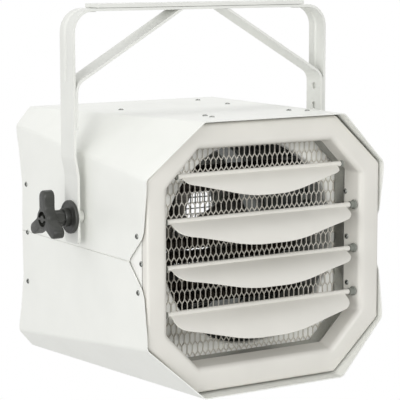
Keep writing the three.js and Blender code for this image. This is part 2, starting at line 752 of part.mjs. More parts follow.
function rearPanel() {
  const pan = roundMouthPan(288, PANEL_Y, { x: 0, z: DUCT_Z, radius: DUCT_RADIUS }, 2);
  const entry = rodY(GLAND.thread + FIT_GAP, PANEL_Y - 10, PANEL_Y + 10, GLAND.x, GLAND.z, 12);
  return cut(pan, entry);
}

// ---------------------------------------------------------------- yoke, bar and braces
// Centre line of the strap's outer face in the X-Z plane, from the left leg's foot to the top.
function yokePath() {
  const path = [];
  const foot = [6.5, 7.5, 9, 12, 80];
  for (const z of foot) path.push([-LEG_LOWER, z]);
  path.push([-LEG_LOWER - 0.8, 86], [-LEG_OUTER + 0.8, 99], [-LEG_OUTER, 105]);
  for (const z of [183, 190, 239]) path.push([-LEG_OUTER, z]);
  const centre = [-LEG_OUTER + BEND_RADIUS, YOKE_TOP - BEND_RADIUS];
  for (let i = 0; i <= 7; i++) {
    const angle = Math.PI - (i / 7) * (Math.PI / 2);
    path.push([centre[0] + BEND_RADIUS * Math.cos(angle), centre[1] + BEND_RADIUS * Math.sin(angle)]);
  }
  path.push([-133, YOKE_TOP], [-129, YOKE_TOP]);
  return [...path, ...path.map(([x, z]) => [-x, z]).reverse()];
}

function normalAt(path, i) {
  const a = path[Math.max(i - 1, 0)];
  const b = path[Math.min(i + 1, path.length - 1)];
  const length = Math.hypot(b[0] - a[0], b[1] - a[1]);
  return [(b[1] - a[1]) / length, -(b[0] - a[0]) / length];
}

// The pressed bead lies between the second and fourth of these lines across the strap.
const STRAP_LINES = [-1, -0.09, 0.1, 0.29, 1];
const BEAD_START = 185;       // height at which the bead begins on each leg

function yoke() {
  const path = yokePath();
  const half = STRAP_WIDTH / 2;
  const [round, foot] = [5, path[0][1]];
  const grid = (depth) => path.map(([x, z], i) => {
    const [nx, nz] = normalAt(path, i);
    const dip = Math.max(0, round - (z - foot));
    const w = half - round + Math.sqrt(Math.max(0, round * round - dip * dip));
    const groove = z > BEAD_START && Math.abs(x) > 131 ? GROOVE : 0;
    return STRAP_LINES.map((c, k) => {
      const d = depth + (k === 2 ? groove : 0);
      return [x + nx * d, PIVOT_Y + c * w, z + nz * d];
    });
  });
  const studs = rodX(PIVOT_HOLE + FIT_GAP, -LEG_OUTER - 1, LEG_OUTER + 1, PIVOT_Y, PIVOT_Z);
  return cut(sheet(grid(0), grid(STRAP_THICK)), studs, ...barHoles());
}

// Holes for the four rivets and the four ceiling screws.
function barHoles() {
  const rivets = BAR_RIVETS.map((x) => rodZ(RIVET_RADIUS + FIT_GAP, 250, 280, x, PIVOT_Y, 8));
  const screws = CEILING_HOLES.map((x) => rodZ(CEILING_HOLE_RADIUS, 250, 280, x, PIVOT_Y, 12));
  return [...rivets, ...screws];
}

function ceilingBar() {
  const height = BAR_TOP - YOKE_TOP - FIT_GAP;
  const bar = boxAt(BAR_HALF * 2, STRAP_WIDTH, height, 0, PIVOT_Y, BAR_TOP - height / 2);
  return cut(bar, ...barHoles());
}

// A strap that climbs from a tab on the leg to the yoke's cross part and is cut off flush there.
function brace(side) {
  const under = YOKE_TOP - STRAP_THICK - FIT_GAP;
  const legFace = LEG_OUTER - STRAP_THICK - FIT_GAP;
  const [slope, height] = [0.585, 224.5];     // of the diagonal's upper face, its height at x = 100
  const rise = (x) => [x, height - slope * (x - 100)];
  const path = [rise(28), rise(157), rise(162.5), [legFace - 0.8, 181], [legFace, 175], [legFace, 134]];
  const half = STRAP_WIDTH / 2;
  const grid = (depth) => path.map(([x, z], i) => {
    const [nx, nz] = normalAt(path, i);
    return [-half, half].map((w) => [side * (x + nx * depth), PIVOT_Y + w, z + nz * depth]);
  });
  const holes = PLUG_HOLES.map((z) => rodX(4, side * 160 - 12, side * 160 + 12, PIVOT_Y, z, 12));
  const waste = boxAt(60, 2 * STRAP_WIDTH, 20, side * 30, PIVOT_Y, under + 10);
  return cut(sheet(grid(0), grid(STRAP_THICK)), waste, ...holes);
}

// A rivet, flush with the strap's underside, its upper end just below the bar's top.
function barRivet(x) {
  const [bottom, top, edge] = [YOKE_TOP - STRAP_THICK, BAR_TOP - 0.5, 0.5];
  const profile = [[0, bottom], [RIVET_RADIUS - edge, bottom], [RIVET_RADIUS, bottom + edge],
    [RIVET_RADIUS, top - edge], [RIVET_RADIUS - edge, top], [0, top]];
  const points = profile.map(([r, h]) => new THREE.Vector2(r, h));
  return meshCheck(new THREE.LatheGeometry(points, 8).rotateX(Math.PI / 2)).translate(x, PIVOT_Y, 0);
}

// ---------------------------------------------------------------- hand knobs
// Three rounded arms on a hub, seen along the axis with one arm straight up.
function knobOutline() {
  const count = 60;
  const capCentre = KNOB_TIP - ARM_HALF;
  const points = [];
  for (let i = 0; i < count; i++) {
    const angle = (i / count) * Math.PI * 2;
    let radius = KNOB_HUB;
    for (let arm = 0; arm < 3; arm++) {
      const off = angle - Math.PI / 2 - (arm * Math.PI * 2) / 3;
      const across = Math.abs(Math.sin(off));
      if (Math.cos(off) <= 0) continue;
      const onCap = ARM_HALF ** 2 - (capCentre * across) ** 2;
      const reach = onCap > 0 ? capCentre * Math.cos(off) + Math.sqrt(onCap) : ARM_HALF / across;
      radius = Math.max(radius, reach);
    }
    points.push([radius * Math.cos(angle), radius * Math.sin(angle)]);
  }
  return shapeOf(points);
}

// Knob along +X from its foot at 0 to its face, with a ring-shaped pocket crossed by a web.
function knob() {
  const face = KNOB_FACE - KNOB_FOOT;
  const back = face - ARM_DEPTH;
  const arms = new THREE.ExtrudeGeometry(knobOutline(), { depth: ARM_DEPTH, bevelEnabled: false });
  arms.rotateY(Math.PI / 2).rotateX(Math.PI / 2).translate(back, 0, 0);
  const neck = turnedX([[0, 0], [COLLAR_RADIUS, 0], [COLLAR_RADIUS, 7], [NECK_RADIUS, 8.5],
    [NECK_RADIUS, back + 1], [0, back + 1]], 0, 0, 0, 16);
  const [post, rim, deep] = [4.2, 8.4, 4];
  const pocket = turnedX([[post, 0], [rim, 0], [rim, deep + 2], [post, deep + 2], [post, 0]],
    face - deep, 0, 0, 12);
  const web = boxAt(10, 22, 2.4, face - deep + 1, 0, 0);
  const bore = rodX(PIVOT_HOLE, -1, STUD_REACH, 0, 0, 12);
  return cut(join(arms, neck), cut(pocket, web), bore);
}

// ---------------------------------------------------------------- tilt pivots, along +X
const SHELL_SIDE = shellSection(PIVOT_Y).a;
const PLATE_THICK = 1.6;

// A hexagon-headed stud from inside the shell into the knob.
function pivotStud() {
  const head = SHELL_SIDE - SHEET - 3;
  const hex = rodX(8, head - 5, head, 0, 0, 6);
  return join(hex, rodX(STUD_RADIUS, head - 1, KNOB_FOOT + STUD_REACH - 1, 0, 0, 12));
}

// The square plate that stiffens the shell's side round the stud.
function pivotPlate() {
  const outside = SHELL_SIDE - SHEET - 1;
  const plate = boxAt(PLATE_THICK, 44, 44, outside - PLATE_THICK / 2, 0, 0);
  return cut(plate, rodX(PIVOT_HOLE, outside - 5, outside + 5, 0, 0, 12));
}

function ringX(radius, x0, x1, sides) {
  return cut(rodX(radius, x0, x1, 0, 0, sides), rodX(PIVOT_HOLE, x0 - 1, x1 + 1, 0, 0, 12));
}

// ---------------------------------------------------------------- assembly
const heater = new THREE.Group();
heater.position.set(0, -PIVOT_Y, -BAR_TOP);
const housing = new THREE.Group();
heater.add(housing);

function add(parent, name, geometry, color, roughness = 0.5, metalness = 0, at = [0, 0, 0]) {
  const mesh = new THREE.Mesh(geometry, new THREE.MeshStandardMaterial({ color, roughness, metalness }));
  mesh.name = name;
  mesh.position.set(...at);
  parent.add(mesh);
  return mesh;
}

add(heater, 'yoke', yoke(), BRACKET, 0.42);
add(heater, 'ceiling_bar', ceilingBar(), BRACKET, 0.42);
for (const [name, side] of [['left', -1], ['right', 1]]) {
  add(heater, `brace_${name}`, brace(side), BRACKET, 0.42);
}

BAR_RIVETS.forEach((x, i) => add(heater, `bar_rivet_${i + 1}`, barRivet(x), BRACKET, 0.42));

add(housing, 'upper_shell', upperShell(), WHITE, 0.38);
add(housing, 'lower_shell', lowerShell(), WHITE, 0.38);
add(housing, 'front_bezel', frontBezel(), WARM, 0.4);
add(housing, 'front_mesh', frontMesh(), WARM, 0.45);
add(housing, 'outlet_throat', outletThroat(), STEEL, 0.45, 0.5);
add(housing, 'plenum', roundMouthPan(27, BAFFLE_Y, MOUTH, 8), WHITE, 0.45);
const ductMouth = { x: 0, z: DUCT_Z, radius: DUCT_RADIUS };
add(housing, 'fan_bulkhead', roundMouthPan(BULKHEAD_Y - 12, BULKHEAD_Y, ductMouth, 3), STEEL, 0.4, 0.8);
add(housing, 'fan_shroud', fanShroud(), STEEL, 0.4, 0.8);
add(housing, 'rear_panel', rearPanel(), WHITE, 0.4);
add(housing, 'rear_guard', rearGuard(), STEEL, 0.4, 0.6);
ELEMENT_Z.forEach((z, i) => add(housing, `heating_element_${i + 1}`, heatingElement(z), STEEL, 0.5, 0.8));
add(housing, 'element_support_left', elementSupport(-1), STEEL, 0.4, 0.9);
add(housing, 'element_support_right', elementSupport(1), STEEL, 0.4, 0.9);
add(housing, 'fan_blades', fanBlades(), STEEL, 0.45, 0.7);
const shaft = rodY(SHAFT_RADIUS, FAN_Y - HUB_HALF + 1, MOTOR_FRONT - FIT_GAP, 0, DUCT_Z, 12);
add(housing, 'motor_shaft', shaft, STEEL, 0.3, 1);
add(housing, 'hub_nut', hubNut(), STEEL, 0.3, 1);
add(housing, 'fan_motor', motor(), DARK, 0.5, 0.5);
add(housing, 'motor_mount', motorMount(), STEEL, 0.4, 0.9);
add(housing, 'control_tray', controlTray(), STEEL, 0.4, 0.9);
add(housing, 'thermostat', thermostat(), DARK, 0.6);
add(housing, 'terminal_block', terminalBlock(), WARM, 0.6);
add(housing, 'contactor', contactor(), DARK, 0.6);
add(housing, 'cable_gland', cableGland(), DARK, 0.6);
add(housing, 'gland_nut', glandNut(), DARK, 0.6);

LOUVRES.forEach((spec, i) => {
  const at = [0, LOUVRE_AXIS_Y, spec.z];
  add(housing, `louvre_${i + 1}`, louvre(spec), WARM, 0.42, 0, at);
  const right = louvreBush(spec.ends[1], spec.right);
  const left = louvreBush(-spec.ends[0], spec.left).rotateZ(Math.PI);
  add(housing, `louvre_bush_${i + 1}_right`, right, BUSH_GREY, 0.6, 0, at);
  add(housing, `louvre_bush_${i + 1}_left`, left, BUSH_GREY, 0.6, 0, at);
});

for (const [name, turn] of [['right', 0], ['left', Math.PI]]) {
  const at = [0, PIVOT_Y, PIVOT_Z];
  const knobAt = [KNOB_FOOT * Math.cos(turn), PIVOT_Y, PIVOT_Z];
  const washer = ringX(WASHER_RADIUS, LEG_LOWER + FIT_GAP, LEG_LOWER + FIT_GAP + WASHER_THICK, 28);
  const spacer = ringX(SPACER_RADIUS, SHELL_SIDE + 0.6, LEG_LOWER - STRAP_THICK - FIT_GAP, 12);
  add(heater, `flange_washer_${name}`, washer.rotateZ(turn), DARK, 0.55, 0, at);
  add(housing, `pivot_spacer_${name}`, spacer.rotateZ(turn), WHITE, 0.4, 0, at);
  add(housing, `pivot_plate_${name}`, pivotPlate().rotateZ(turn), STEEL, 0.4, 0.9, at);
  add(housing, `pivot_stud_${name}`, pivotStud().rotateZ(turn), STEEL, 0.3, 1, at);
  add(housing, `knob_${name}`, knob().rotateZ(turn), DARK, 0.55, 0, knobAt);
}

export default heater;
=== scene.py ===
"""Looks of the ceiling mounted fan heater: coated sheet, expanded mesh, moulded knobs, wire guard."""
import math
from collections import namedtuple

import bmesh
import bpy
from mathutils import Euler, Matrix, Vector


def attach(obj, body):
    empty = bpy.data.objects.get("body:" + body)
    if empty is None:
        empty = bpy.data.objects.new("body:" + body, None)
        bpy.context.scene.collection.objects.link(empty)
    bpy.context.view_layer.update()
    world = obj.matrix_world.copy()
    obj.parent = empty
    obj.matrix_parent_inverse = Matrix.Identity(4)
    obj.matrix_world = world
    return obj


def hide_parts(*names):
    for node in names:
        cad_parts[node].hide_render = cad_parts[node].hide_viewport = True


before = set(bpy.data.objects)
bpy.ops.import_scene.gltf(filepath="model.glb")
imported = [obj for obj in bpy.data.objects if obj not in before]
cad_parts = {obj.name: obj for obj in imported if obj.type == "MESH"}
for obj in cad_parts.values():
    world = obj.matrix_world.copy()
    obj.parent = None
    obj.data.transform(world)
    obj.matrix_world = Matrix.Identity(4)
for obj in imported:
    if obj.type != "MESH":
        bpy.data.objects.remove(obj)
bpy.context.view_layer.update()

# ---------------------------------------------------------------- sizes, in millimetres
# Widths along X, depths from the housing's front edge along Y, heights from its mid height.
MM = 0.001
PIVOT_Y = 156.0
PIVOT_Z = 36.0
BAR_TOP = 271.0
SHELL_DEPTH = 322.0
SHEET = 1.2
BEND = 8.0
LAP_INSET = 1.5
FIT = 0.3

Octagon = namedtuple("Octagon", "a b cx cz")    # half width, half height, corner cuts
FRONT = Octagon(159, 150, 66, 60.5)
REAR = Octagon(150, 145.6, 18.4, 21.2)
OPENING = Octagon(130.5, 120.5, 42, 42)
LIP = Octagon(124.5, 116, 33.5, 33.5)

FACE_Y = 15.5
LIP_Y = 41.0
FLANGE_Y = 25.7
THROAT_REAR = 61.0
MESH_Y = 61.3
BAFFLE_Y = 64.0
BULKHEAD_Y = 190.0
PANEL_Y = 306.0
DUCT_RADIUS = 120.0
DUCT_Z = -4.0
FAN_Y = 216.0

LEG_OUTER = 172.0
LEG_LOWER = 168.0
YOKE_TOP = 266.0
STRAP_THICK = 3.0
STRAP_HALF = 14.7

KNOB_FACE = 205.0
KNOB_FOOT = 172.6
ARM_DEPTH = 13.0

LOUVRE_AXIS_Y = 24.6
ELEMENT_Y = 130.0
ELEMENT_Z = [71.0, -10.0, -58.0]
ELEMENT_BEND = 8.0
GLAND_X, GLAND_Z = -106.0, -106.0


def row(x, y, z):
    """A point of the heater's own millimetres as metres in the shared frame."""
    return Vector((x, y - PIVOT_Y, z - BAR_TOP)) * MM


def mix(a, b, t):
    return a + (b - a) * t


def clamp(value, low=0.0, high=1.0):
    return max(low, min(high, value))


# ---------------------------------------------------------------- node helpers
def add_node(tree, kind, inputs=None, **settings):
    """One node with its settings; an input is another node's output or a plain value."""
    node = tree.nodes.new(kind)
    for name, value in settings.items():
        setattr(node, name, value)
    for name, value in (inputs or {}).items():
        socket = node.inputs[name]
        if isinstance(value, bpy.types.NodeSocket):
            tree.links.new(value, socket)
        else:
            socket.default_value = value
    return node


def sum_of(tree, operation, *terms):
    """A chain of two-term math nodes over all the terms."""
    total = terms[0]
    for term in terms[1:]:
        total = add_node(tree, "ShaderNodeMath", {0: total, 1: term}, operation=operation).outputs[0]
    return total


def grower(name, sockets):
    """An empty geometry tree with a geometry input and the named sockets; returns tree and inputs."""
    tree = bpy.data.node_groups.new(name, "GeometryNodeTree")
    tree.interface.new_socket("Geometry", in_out="OUTPUT", socket_type="NodeSocketGeometry")
    tree.interface.new_socket("Geometry", in_out="INPUT", socket_type="NodeSocketGeometry")
    for label, kind in sockets.items():
        tree.interface.new_socket(label, in_out="INPUT", socket_type="NodeSocket" + kind)
    return tree, tree.nodes.new("NodeGroupInput").outputs


def finish_growth(tree, geometry, material):
    """Ends a tree with Realize Instances and Set Material."""
    real = add_node(tree, "GeometryNodeRealizeInstances", {"Geometry": geometry})
    dressed = add_node(tree, "GeometryNodeSetMaterial",
                       {"Geometry": real.outputs[0], "Material": material})
    add_node(tree, "NodeGroupOutput", {"Geometry": dressed.outputs[0]})
    return dressed


def grown(tree, values, base=None):
    """What the tree makes from a base mesh with these values, as a plain mesh."""
    holder = bpy.data.objects.new("holder", base or bpy.data.meshes.new("empty"))
    bpy.context.scene.collection.objects.link(holder)
    modifier = holder.modifiers.new("grow", "NODES")
    modifier.node_group = tree
    for item in tree.interface.items_tree:
        if item.in_out == "INPUT" and item.name in values:
            modifier[item.identifier] = values[item.name]
    mesh = settled_mesh(holder)
    bpy.data.objects.remove(holder)
    return mesh


def settled_mesh(obj):
    """The object's mesh with its modifiers in it."""
    depsgraph = bpy.context.evaluated_depsgraph_get()
    return bpy.data.meshes.new_from_object(obj.evaluated_get(depsgraph), depsgraph=depsgraph)


# ---------------------------------------------------------------- outlines in the X-Z plane
def between(o, p, t):
    return Octagon(*(mix(f, r, t) for f, r in zip(o, p)))


def section(y):
    """The housing's outline at depth y."""
    return between(FRONT, REAR, y / SHELL_DEPTH)


def inset(o, d):
    """The same octagon with every side moved inwards by d."""
    reach = o.cz * o.a + o.cx * (o.b - o.cz) - d * math.hypot(o.cx, o.cz)
    a, b = o.a - d, o.b - d
    return Octagon(a, b, a - (reach - o.cx * b) / o.cz, b - (reach - o.cz * a) / o.cx)


def corners_of(o):
    quarter = [(o.a, o.b - o.cz), (o.a - o.cx, o.b)]
    upper = quarter + [(-x, z) for x, z in reversed(quarter)]
    return upper + [(-x, -z) for x, z in upper]


def fillet(before, corner, after, radius, steps):
    """One rounded corner between its neighbours, as steps + 1 points."""
    d1 = Vector(corner) - Vector(before)
    d2 = Vector(after) - Vector(corner)
    turn = math.atan2(d1.x * d2.y - d1.y * d2.x, d1.dot(d2))
    u = d1.normalized()
    out = Vector((u.y, -u.x)) * math.copysign(radius, turn)
    centre = Vector(corner) - u * abs(radius * math.tan(turn / 2)) - out
    return [tuple(centre + Matrix.Rotation(turn * i / steps, 2) @ out) for i in range(steps + 1)]


def ring_of(o, radius, steps=6):
    corners = corners_of(o)
    points = []
    for i, corner in enumerate(corners):
        points += fillet(corners[i - 1], corner, corners[(i + 1) % 8], radius, steps)
    return points


def guide_ring(o, radius, steps=5):
    """A rounded octagon with extra points along its sides, so that a circle can follow it."""
    ring = ring_of(o, radius, steps)
    per_corner = steps + 1
    points = []
    for i, point in enumerate(ring):
        after = ring[(i + 1) % len(ring)]
        corner, place = divmod(i, per_corner)
        pieces = 1
        if place == steps:
            pieces = 16 if corner % 2 else 8
        for k in range(pieces):
            points.append((mix(point[0], after[0], k / pieces), mix(point[1], after[1], k / pieces)))
    return points


def circle_like(guide, radius, x0, z0):
    """A circle with one point in the direction of each point of a guide ring."""
    angles = [math.atan2(z - z0, x - x0) for x, z in guide]
    return [(x0 + radius * math.cos(t), z0 + radius * math.sin(t)) for t in angles]


def rounded_path(points, radii, steps=10):
    """An open line with its inner corners rounded."""
    path = [points[0]]
    for i, radius in enumerate(radii, 1):
        path += fillet(points[i - 1], points[i], points[i + 1], radius, steps)
    return path + [points[-1]]


def lift(outline, y):
    return [(x, y, z) for x, z in outline]


def table_at(table, value):
    """What the table gives at a value, straight between its points and level beyond them."""
    for (x0, y0), (x1, y1) in zip(table, table[1:]):
        if value <= x1:
            return mix(y0, y1, clamp((value - x0) / (x1 - x0)))
    return table[-1][1]


# ---------------------------------------------------------------- solids as (points, faces)
def frame_of(rings):
    """A closed frame whose section runs through a list of rings of points."""
    count = len(rings[0])
    points = [p for ring in rings for p in ring]
    faces = []
    for i in range(len(rings)):
        a, b = i * count, (i + 1) % len(rings) * count
        for j in range(count):
            k = (j + 1) % count
            faces.append((a + j, b + j, b + k, a + k))
    return points, faces


def loft(rings):
    """A solid through closed rings, with flat ends."""
    points, faces = frame_of(rings)
    count = len(rings[0])
    sides = faces[:(len(rings) - 1) * count]
    ends = [tuple(range(count)), tuple(range(len(points) - count, len(points)))]
    return points, sides + ends


def sheet(outer, inner):
    """A sheet between two grids of points of the same size."""
    rows, cols = len(outer), len(outer[0])
    points = [p for grid in (outer, inner) for line in grid for p in line]
    edge = [(i, 0) for i in range(rows)] + [(rows - 1, j) for j in range(1, cols)]
    edge += [(i, cols - 1) for i in range(rows - 2, -1, -1)] + [(0, j) for j in range(cols - 2, 0, -1)]
    faces = []
    for side in (0, rows * cols):
        for i in range(rows - 1):
            for j in range(cols - 1):
                a = side + i * cols + j
                faces.append((a, a + 1, a + cols + 1, a + cols))
    for (i, j), (k, m) in zip(edge, edge[1:] + edge[:1]):
        a, b = i * cols + j, k * cols + m
        faces.append((a, b, b + rows * cols, a + rows * cols))
    return points, faces


AXES = {"x": lambda r, c, s, along: (along, r * c, r * s),
        "y": lambda r, c, s, along: (r * c, along, r * s),
        "z": lambda r, c, s, along: (r * c, r * s, along)}


def turned(profile, axis, at=(0, 0, 0), sides=48, flutes=0.0):
    """A turned solid from pairs of radius and distance along the axis; a closed profile is a ring."""
    rings = []
    for radius, along in profile:
        ring = []
        for i in range(sides):
            t = 2 * math.pi * i / sides
            r = radius * (1 + (flutes if i % 2 else 0))
            x, y, z = AXES[axis](r, math.cos(t), math.sin(t), along)
            ring.append((x + at[0], y + at[1], z + at[2]))
        rings.append(ring)
    if profile[0] == profile[-1]:
        return frame_of(rings[:-1])
    return loft(rings)


def block(low, high):
    """A box between two corners."""
    (x0, y0, z0), (x1, y1, z1) = low, high
    return loft([[(x0, y0, z), (x1, y0, z), (x1, y1, z), (x0, y1, z)] for z in (z0, z1)])


def mirrored(shape):
    points, faces = shape
    return [(-x, y, z) for x, y, z in points], faces


def turned_about_x(shape, degrees, y0, z0):
    """The shape turned about an axis along X and then carried to y0, z0."""
    c, s = math.cos(math.radians(degrees)), math.sin(math.radians(degrees))
    points, faces = shape
    return [(x, y * c - z * s + y0, y * s + z * c + z0) for x, y, z in points], faces


# ---------------------------------------------------------------- from solids to pieces
def mesh_from(name, shapes):
    """Shapes merged into one mesh with its faces pointing outwards."""
    bm = bmesh.new()
    for points, faces in shapes:
        made = [bm.verts.new(row(*p)) for p in points]
        for face in faces:
            bm.faces.new([made[i] for i in face])
    bmesh.ops.remove_doubles(bm, verts=bm.verts, dist=0.01 * MM)
    bmesh.ops.dissolve_degenerate(bm, edges=bm.edges, dist=0.005 * MM)
    bmesh.ops.recalc_face_normals(bm, faces=bm.faces)
    mesh = bpy.data.meshes.new(name)
    bm.to_mesh(mesh)
    bm.free()
    return mesh


def new_object(name, mesh):
    obj = bpy.data.objects.new(name, mesh)
    bpy.context.scene.collection.objects.link(obj)
    return obj


def settle(obj):
    """Puts the object's modifiers into its mesh and takes them off."""
    mesh = settled_mesh(obj)
    obj.modifiers.clear()
    obj.data = mesh


def cut_away(obj, *cutters):
    """Takes solids out of an object's mesh."""
    tools = []
    for cutter in cutters:
        tool = new_object("cutter", mesh_from("cutter", [cutter]))
        modifier = obj.modifiers.new("cut", "BOOLEAN")
        modifier.object = tool
        modifier.solver = "EXACT"
        tools.append(tool)
    settle(obj)
    for tool in tools:
        bpy.data.objects.remove(tool)


def finish_edges(obj, bevel, smooth):
    """Breaks the sharp edges by a bevel of this many millimetres and shades the rest smooth."""
    obj.data.shade_smooth()
    obj.data.set_sharp_from_angle(angle=math.radians(smooth))
    if bevel:
        modifier = obj.modifiers.new("edges", "BEVEL")
        modifier.width = bevel * MM
        modifier.segments = 2
        modifier.limit_method = "ANGLE"
        modifier.angle_limit = math.radians(smooth)
        modifier.harden_normals = True
        modifier.use_clamp_overlap = True
        settle(obj)


def dress(obj, body, material, replaced):
    """Hangs a finished piece on its body, with its material and the nodes it stands for."""
    if material is not None:
        obj.data.materials.clear()
        obj.data.materials.append(material)
    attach(obj, body)
    if replaced:
        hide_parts(*replaced)
    return obj


def piece(name, shapes, body, material, replaced=(), bevel=0.25, smooth=35, cuts=()):
    """A piece from solids, cut, with its edges broken, riding on its body."""
    obj = new_object(name, mesh_from(name, shapes))
    if cuts:
        cut_away(obj, *cuts)
    finish_edges(obj, bevel, smooth)
    return dress(obj, body, material, replaced)


def refined(node, material, body="housing", bevel=0.25, smooth=35):
    """A CAD node's own shape with merged faces and broken edges."""
    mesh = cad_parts[node].data.copy()
    bm = bmesh.new()
    bm.from_mesh(mesh)
    bmesh.ops.remove_doubles(bm, verts=bm.verts, dist=0.01 * MM)
    bmesh.ops.dissolve_limit(bm, angle_limit=math.radians(1), verts=bm.verts, edges=bm.edges)
    bm.to_mesh(mesh)
    bm.free()
    obj = new_object(node + "_finished", mesh)
    finish_edges(obj, bevel, smooth)
    return dress(obj, body, material, (node,))


# ---------------------------------------------------------------- finishes
def linear(code):
    """A hex sRGB colour as linear red, green, blue and alpha."""
    parts = [int(code[i:i + 2], 16) / 255 for i in (1, 3, 5)]
    return tuple(c / 12.92 if c <= 0.04045 else ((c + 0.055) / 1.055) ** 2.4 for c in parts) + (1.0,)


def new_finish(name, roughness, metallic=0.0):
    material = bpy.data.materials.new(name)
    material.use_nodes = True
    tree = material.node_tree
    shader = tree.nodes["Principled BSDF"]
    shader.inputs["Roughness"].default_value = roughness
    shader.inputs["Metallic"].default_value = metallic
    place = add_node(tree, "ShaderNodeTexCoord").outputs["Object"]
    return material, tree, shader, place


def grain(tree, place, size, detail=2.0):
    """A noise whose features are about size millimetres across."""
    return add_node(tree, "ShaderNodeTexNoise", {
        "Vector": place, "Scale": 1 / (size * MM), "Detail": detail}).outputs[0]


def ramp(tree, factor, *stops):
    """Colours or greys along a factor, as pairs of place and colour."""
    node = add_node(tree, "ShaderNodeValToRGB", {"Fac": factor})
    elements = node.color_ramp.elements
    while len(elements) < len(stops):
        elements.new(0.5)
    for element, (place, colour) in zip(elements, stops):
        element.position = place
        element.color = colour
    return node.outputs["Color"]


def spread(tree, factor, low, high):
    """The factor's middle range stretched to run from low to high."""
    return add_node(tree, "ShaderNodeMapRange", {
        "Value": factor, "From Min": 0.3, "From Max": 0.7, "To Min": low, "To Max": high}).outputs[0]


def roughen(tree, shader, height, depth):
    """A surface relief of depth millimetres."""
    bump = add_node(tree, "ShaderNodeBump", {"Height": height, "Distance": depth * MM, "Strength": 1.0})
    tree.links.new(bump.outputs[0], shader.inputs["Normal"])


def powder_coat(name, light, dark, roughness=0.34):
    """Baked powder coat on pressed steel: even satin gloss, the faint orange peel of cured powder
    and a film that is a touch thinner, and so greyer, here and there."""
    material, tree, shader, place = new_finish(name, roughness)
    tint = ramp(tree, grain(tree, place, 45), (0.3, linear(dark)), (0.65, linear(light)))
    tree.links.new(tint, shader.inputs["Base Color"])
    tree.links.new(spread(tree, grain(tree, place, 9), roughness - 0.04, roughness + 0.05),
                   shader.inputs["Roughness"])
    roughen(tree, shader, grain(tree, place, 1.6), 0.012)
    return material


SPANGLE = 7.0                 # millimetres across one zinc crystal


def zinc_sheet(name, light, dark, roughness=0.36):
    """Hot-dip galvanised sheet: cold grey metal with a broad spangle that shifts in shade."""
    material, tree, shader, place = new_finish(name, roughness, 1.0)
    spangle = add_node(tree, "ShaderNodeTexVoronoi", {"Vector": place, "Scale": 1 / (SPANGLE * MM)})
    shade = add_node(tree, "ShaderNodeSeparateColor", {"Color": spangle.outputs["Color"]}).outputs[0]
    tint = ramp(tree, shade, (0.0, linear(dark)), (1.0, linear(light)))
    tree.links.new(tint, shader.inputs["Base Color"])
    tree.links.new(spread(tree, shade, roughness - 0.05, roughness + 0.1), shader.inputs["Roughness"])
    roughen(tree, shader, grain(tree, place, 0.8), 0.004)
    return material


def bright_zinc(name, light, dark, roughness=0.28):
    """Bright zinc on turned, pressed or rolled steel: clean pale metal, finely scratched."""
    material, tree, shader, place = new_finish(name, roughness, 1.0)
    tint = ramp(tree, grain(tree, place, 2.5), (0.35, linear(dark)), (0.65, linear(light)))
    tree.links.new(tint, shader.inputs["Base Color"])
    tree.links.new(spread(tree, grain(tree, place, 0.7), roughness - 0.06, roughness + 0.1),
                   shader.inputs["Roughness"])
    roughen(tree, shader, grain(tree, place, 0.3), 0.002)
    return material


def moulded(name, light, dark, roughness=0.5, texture=0.5, depth=0.02):
    """Injection-moulded plastic: a fine spark-eroded texture, matt with a soft sheen on edges."""
    material, tree, shader, place = new_finish(name, roughness)
    tint = ramp(tree, grain(tree, place, 12), (0.35, linear(dark)), (0.65, linear(light)))
    tree.links.new(tint, shader.inputs["Base Color"])
    tree.links.new(spread(tree, grain(tree, place, 3), roughness - 0.05, roughness + 0.08),
                   shader.inputs["Roughness"])
    roughen(tree, shader, grain(tree, place, texture, 3.0), depth)
    return material


def tinted_steel(name, cool, warm, roughness=0.42):
    """Sheathed heating tube after use: steel that has gone straw and brown where it runs hot."""
    material, tree, shader, place = new_finish(name, roughness, 1.0)
    tint = ramp(tree, grain(tree, place, 22, 4.0), (0.3, linear(cool)), (0.7, linear(warm)))
    tree.links.new(tint, shader.inputs["Base Color"])
    tree.links.new(spread(tree, grain(tree, place, 4), roughness - 0.08, roughness + 0.12),
                   shader.inputs["Roughness"])
    roughen(tree, shader, grain(tree, place, 0.6), 0.01)
    return material


def pressed_alloy(name, light, dark, roughness=0.4):
    """Pressed aluminium fan sheet: matt silver with faint drawing lines."""
    material, tree, shader, place = new_finish(name, roughness, 1.0)
    lines = add_node(tree, "ShaderNodeMapping", {"Vector": place, "Scale": (1, 1, 8)}).outputs[0]
    tint = ramp(tree, grain(tree, lines, 14, 4.0), (0.35, linear(dark)), (0.65, linear(light)))
    tree.links.new(tint, shader.inputs["Base Color"])
    tree.links.new(spread(tree, grain(tree, lines, 6), roughness - 0.06, roughness + 0.1),
                   shader.inputs["Roughness"])
    roughen(tree, shader, grain(tree, lines, 1.2), 0.006)
    return material


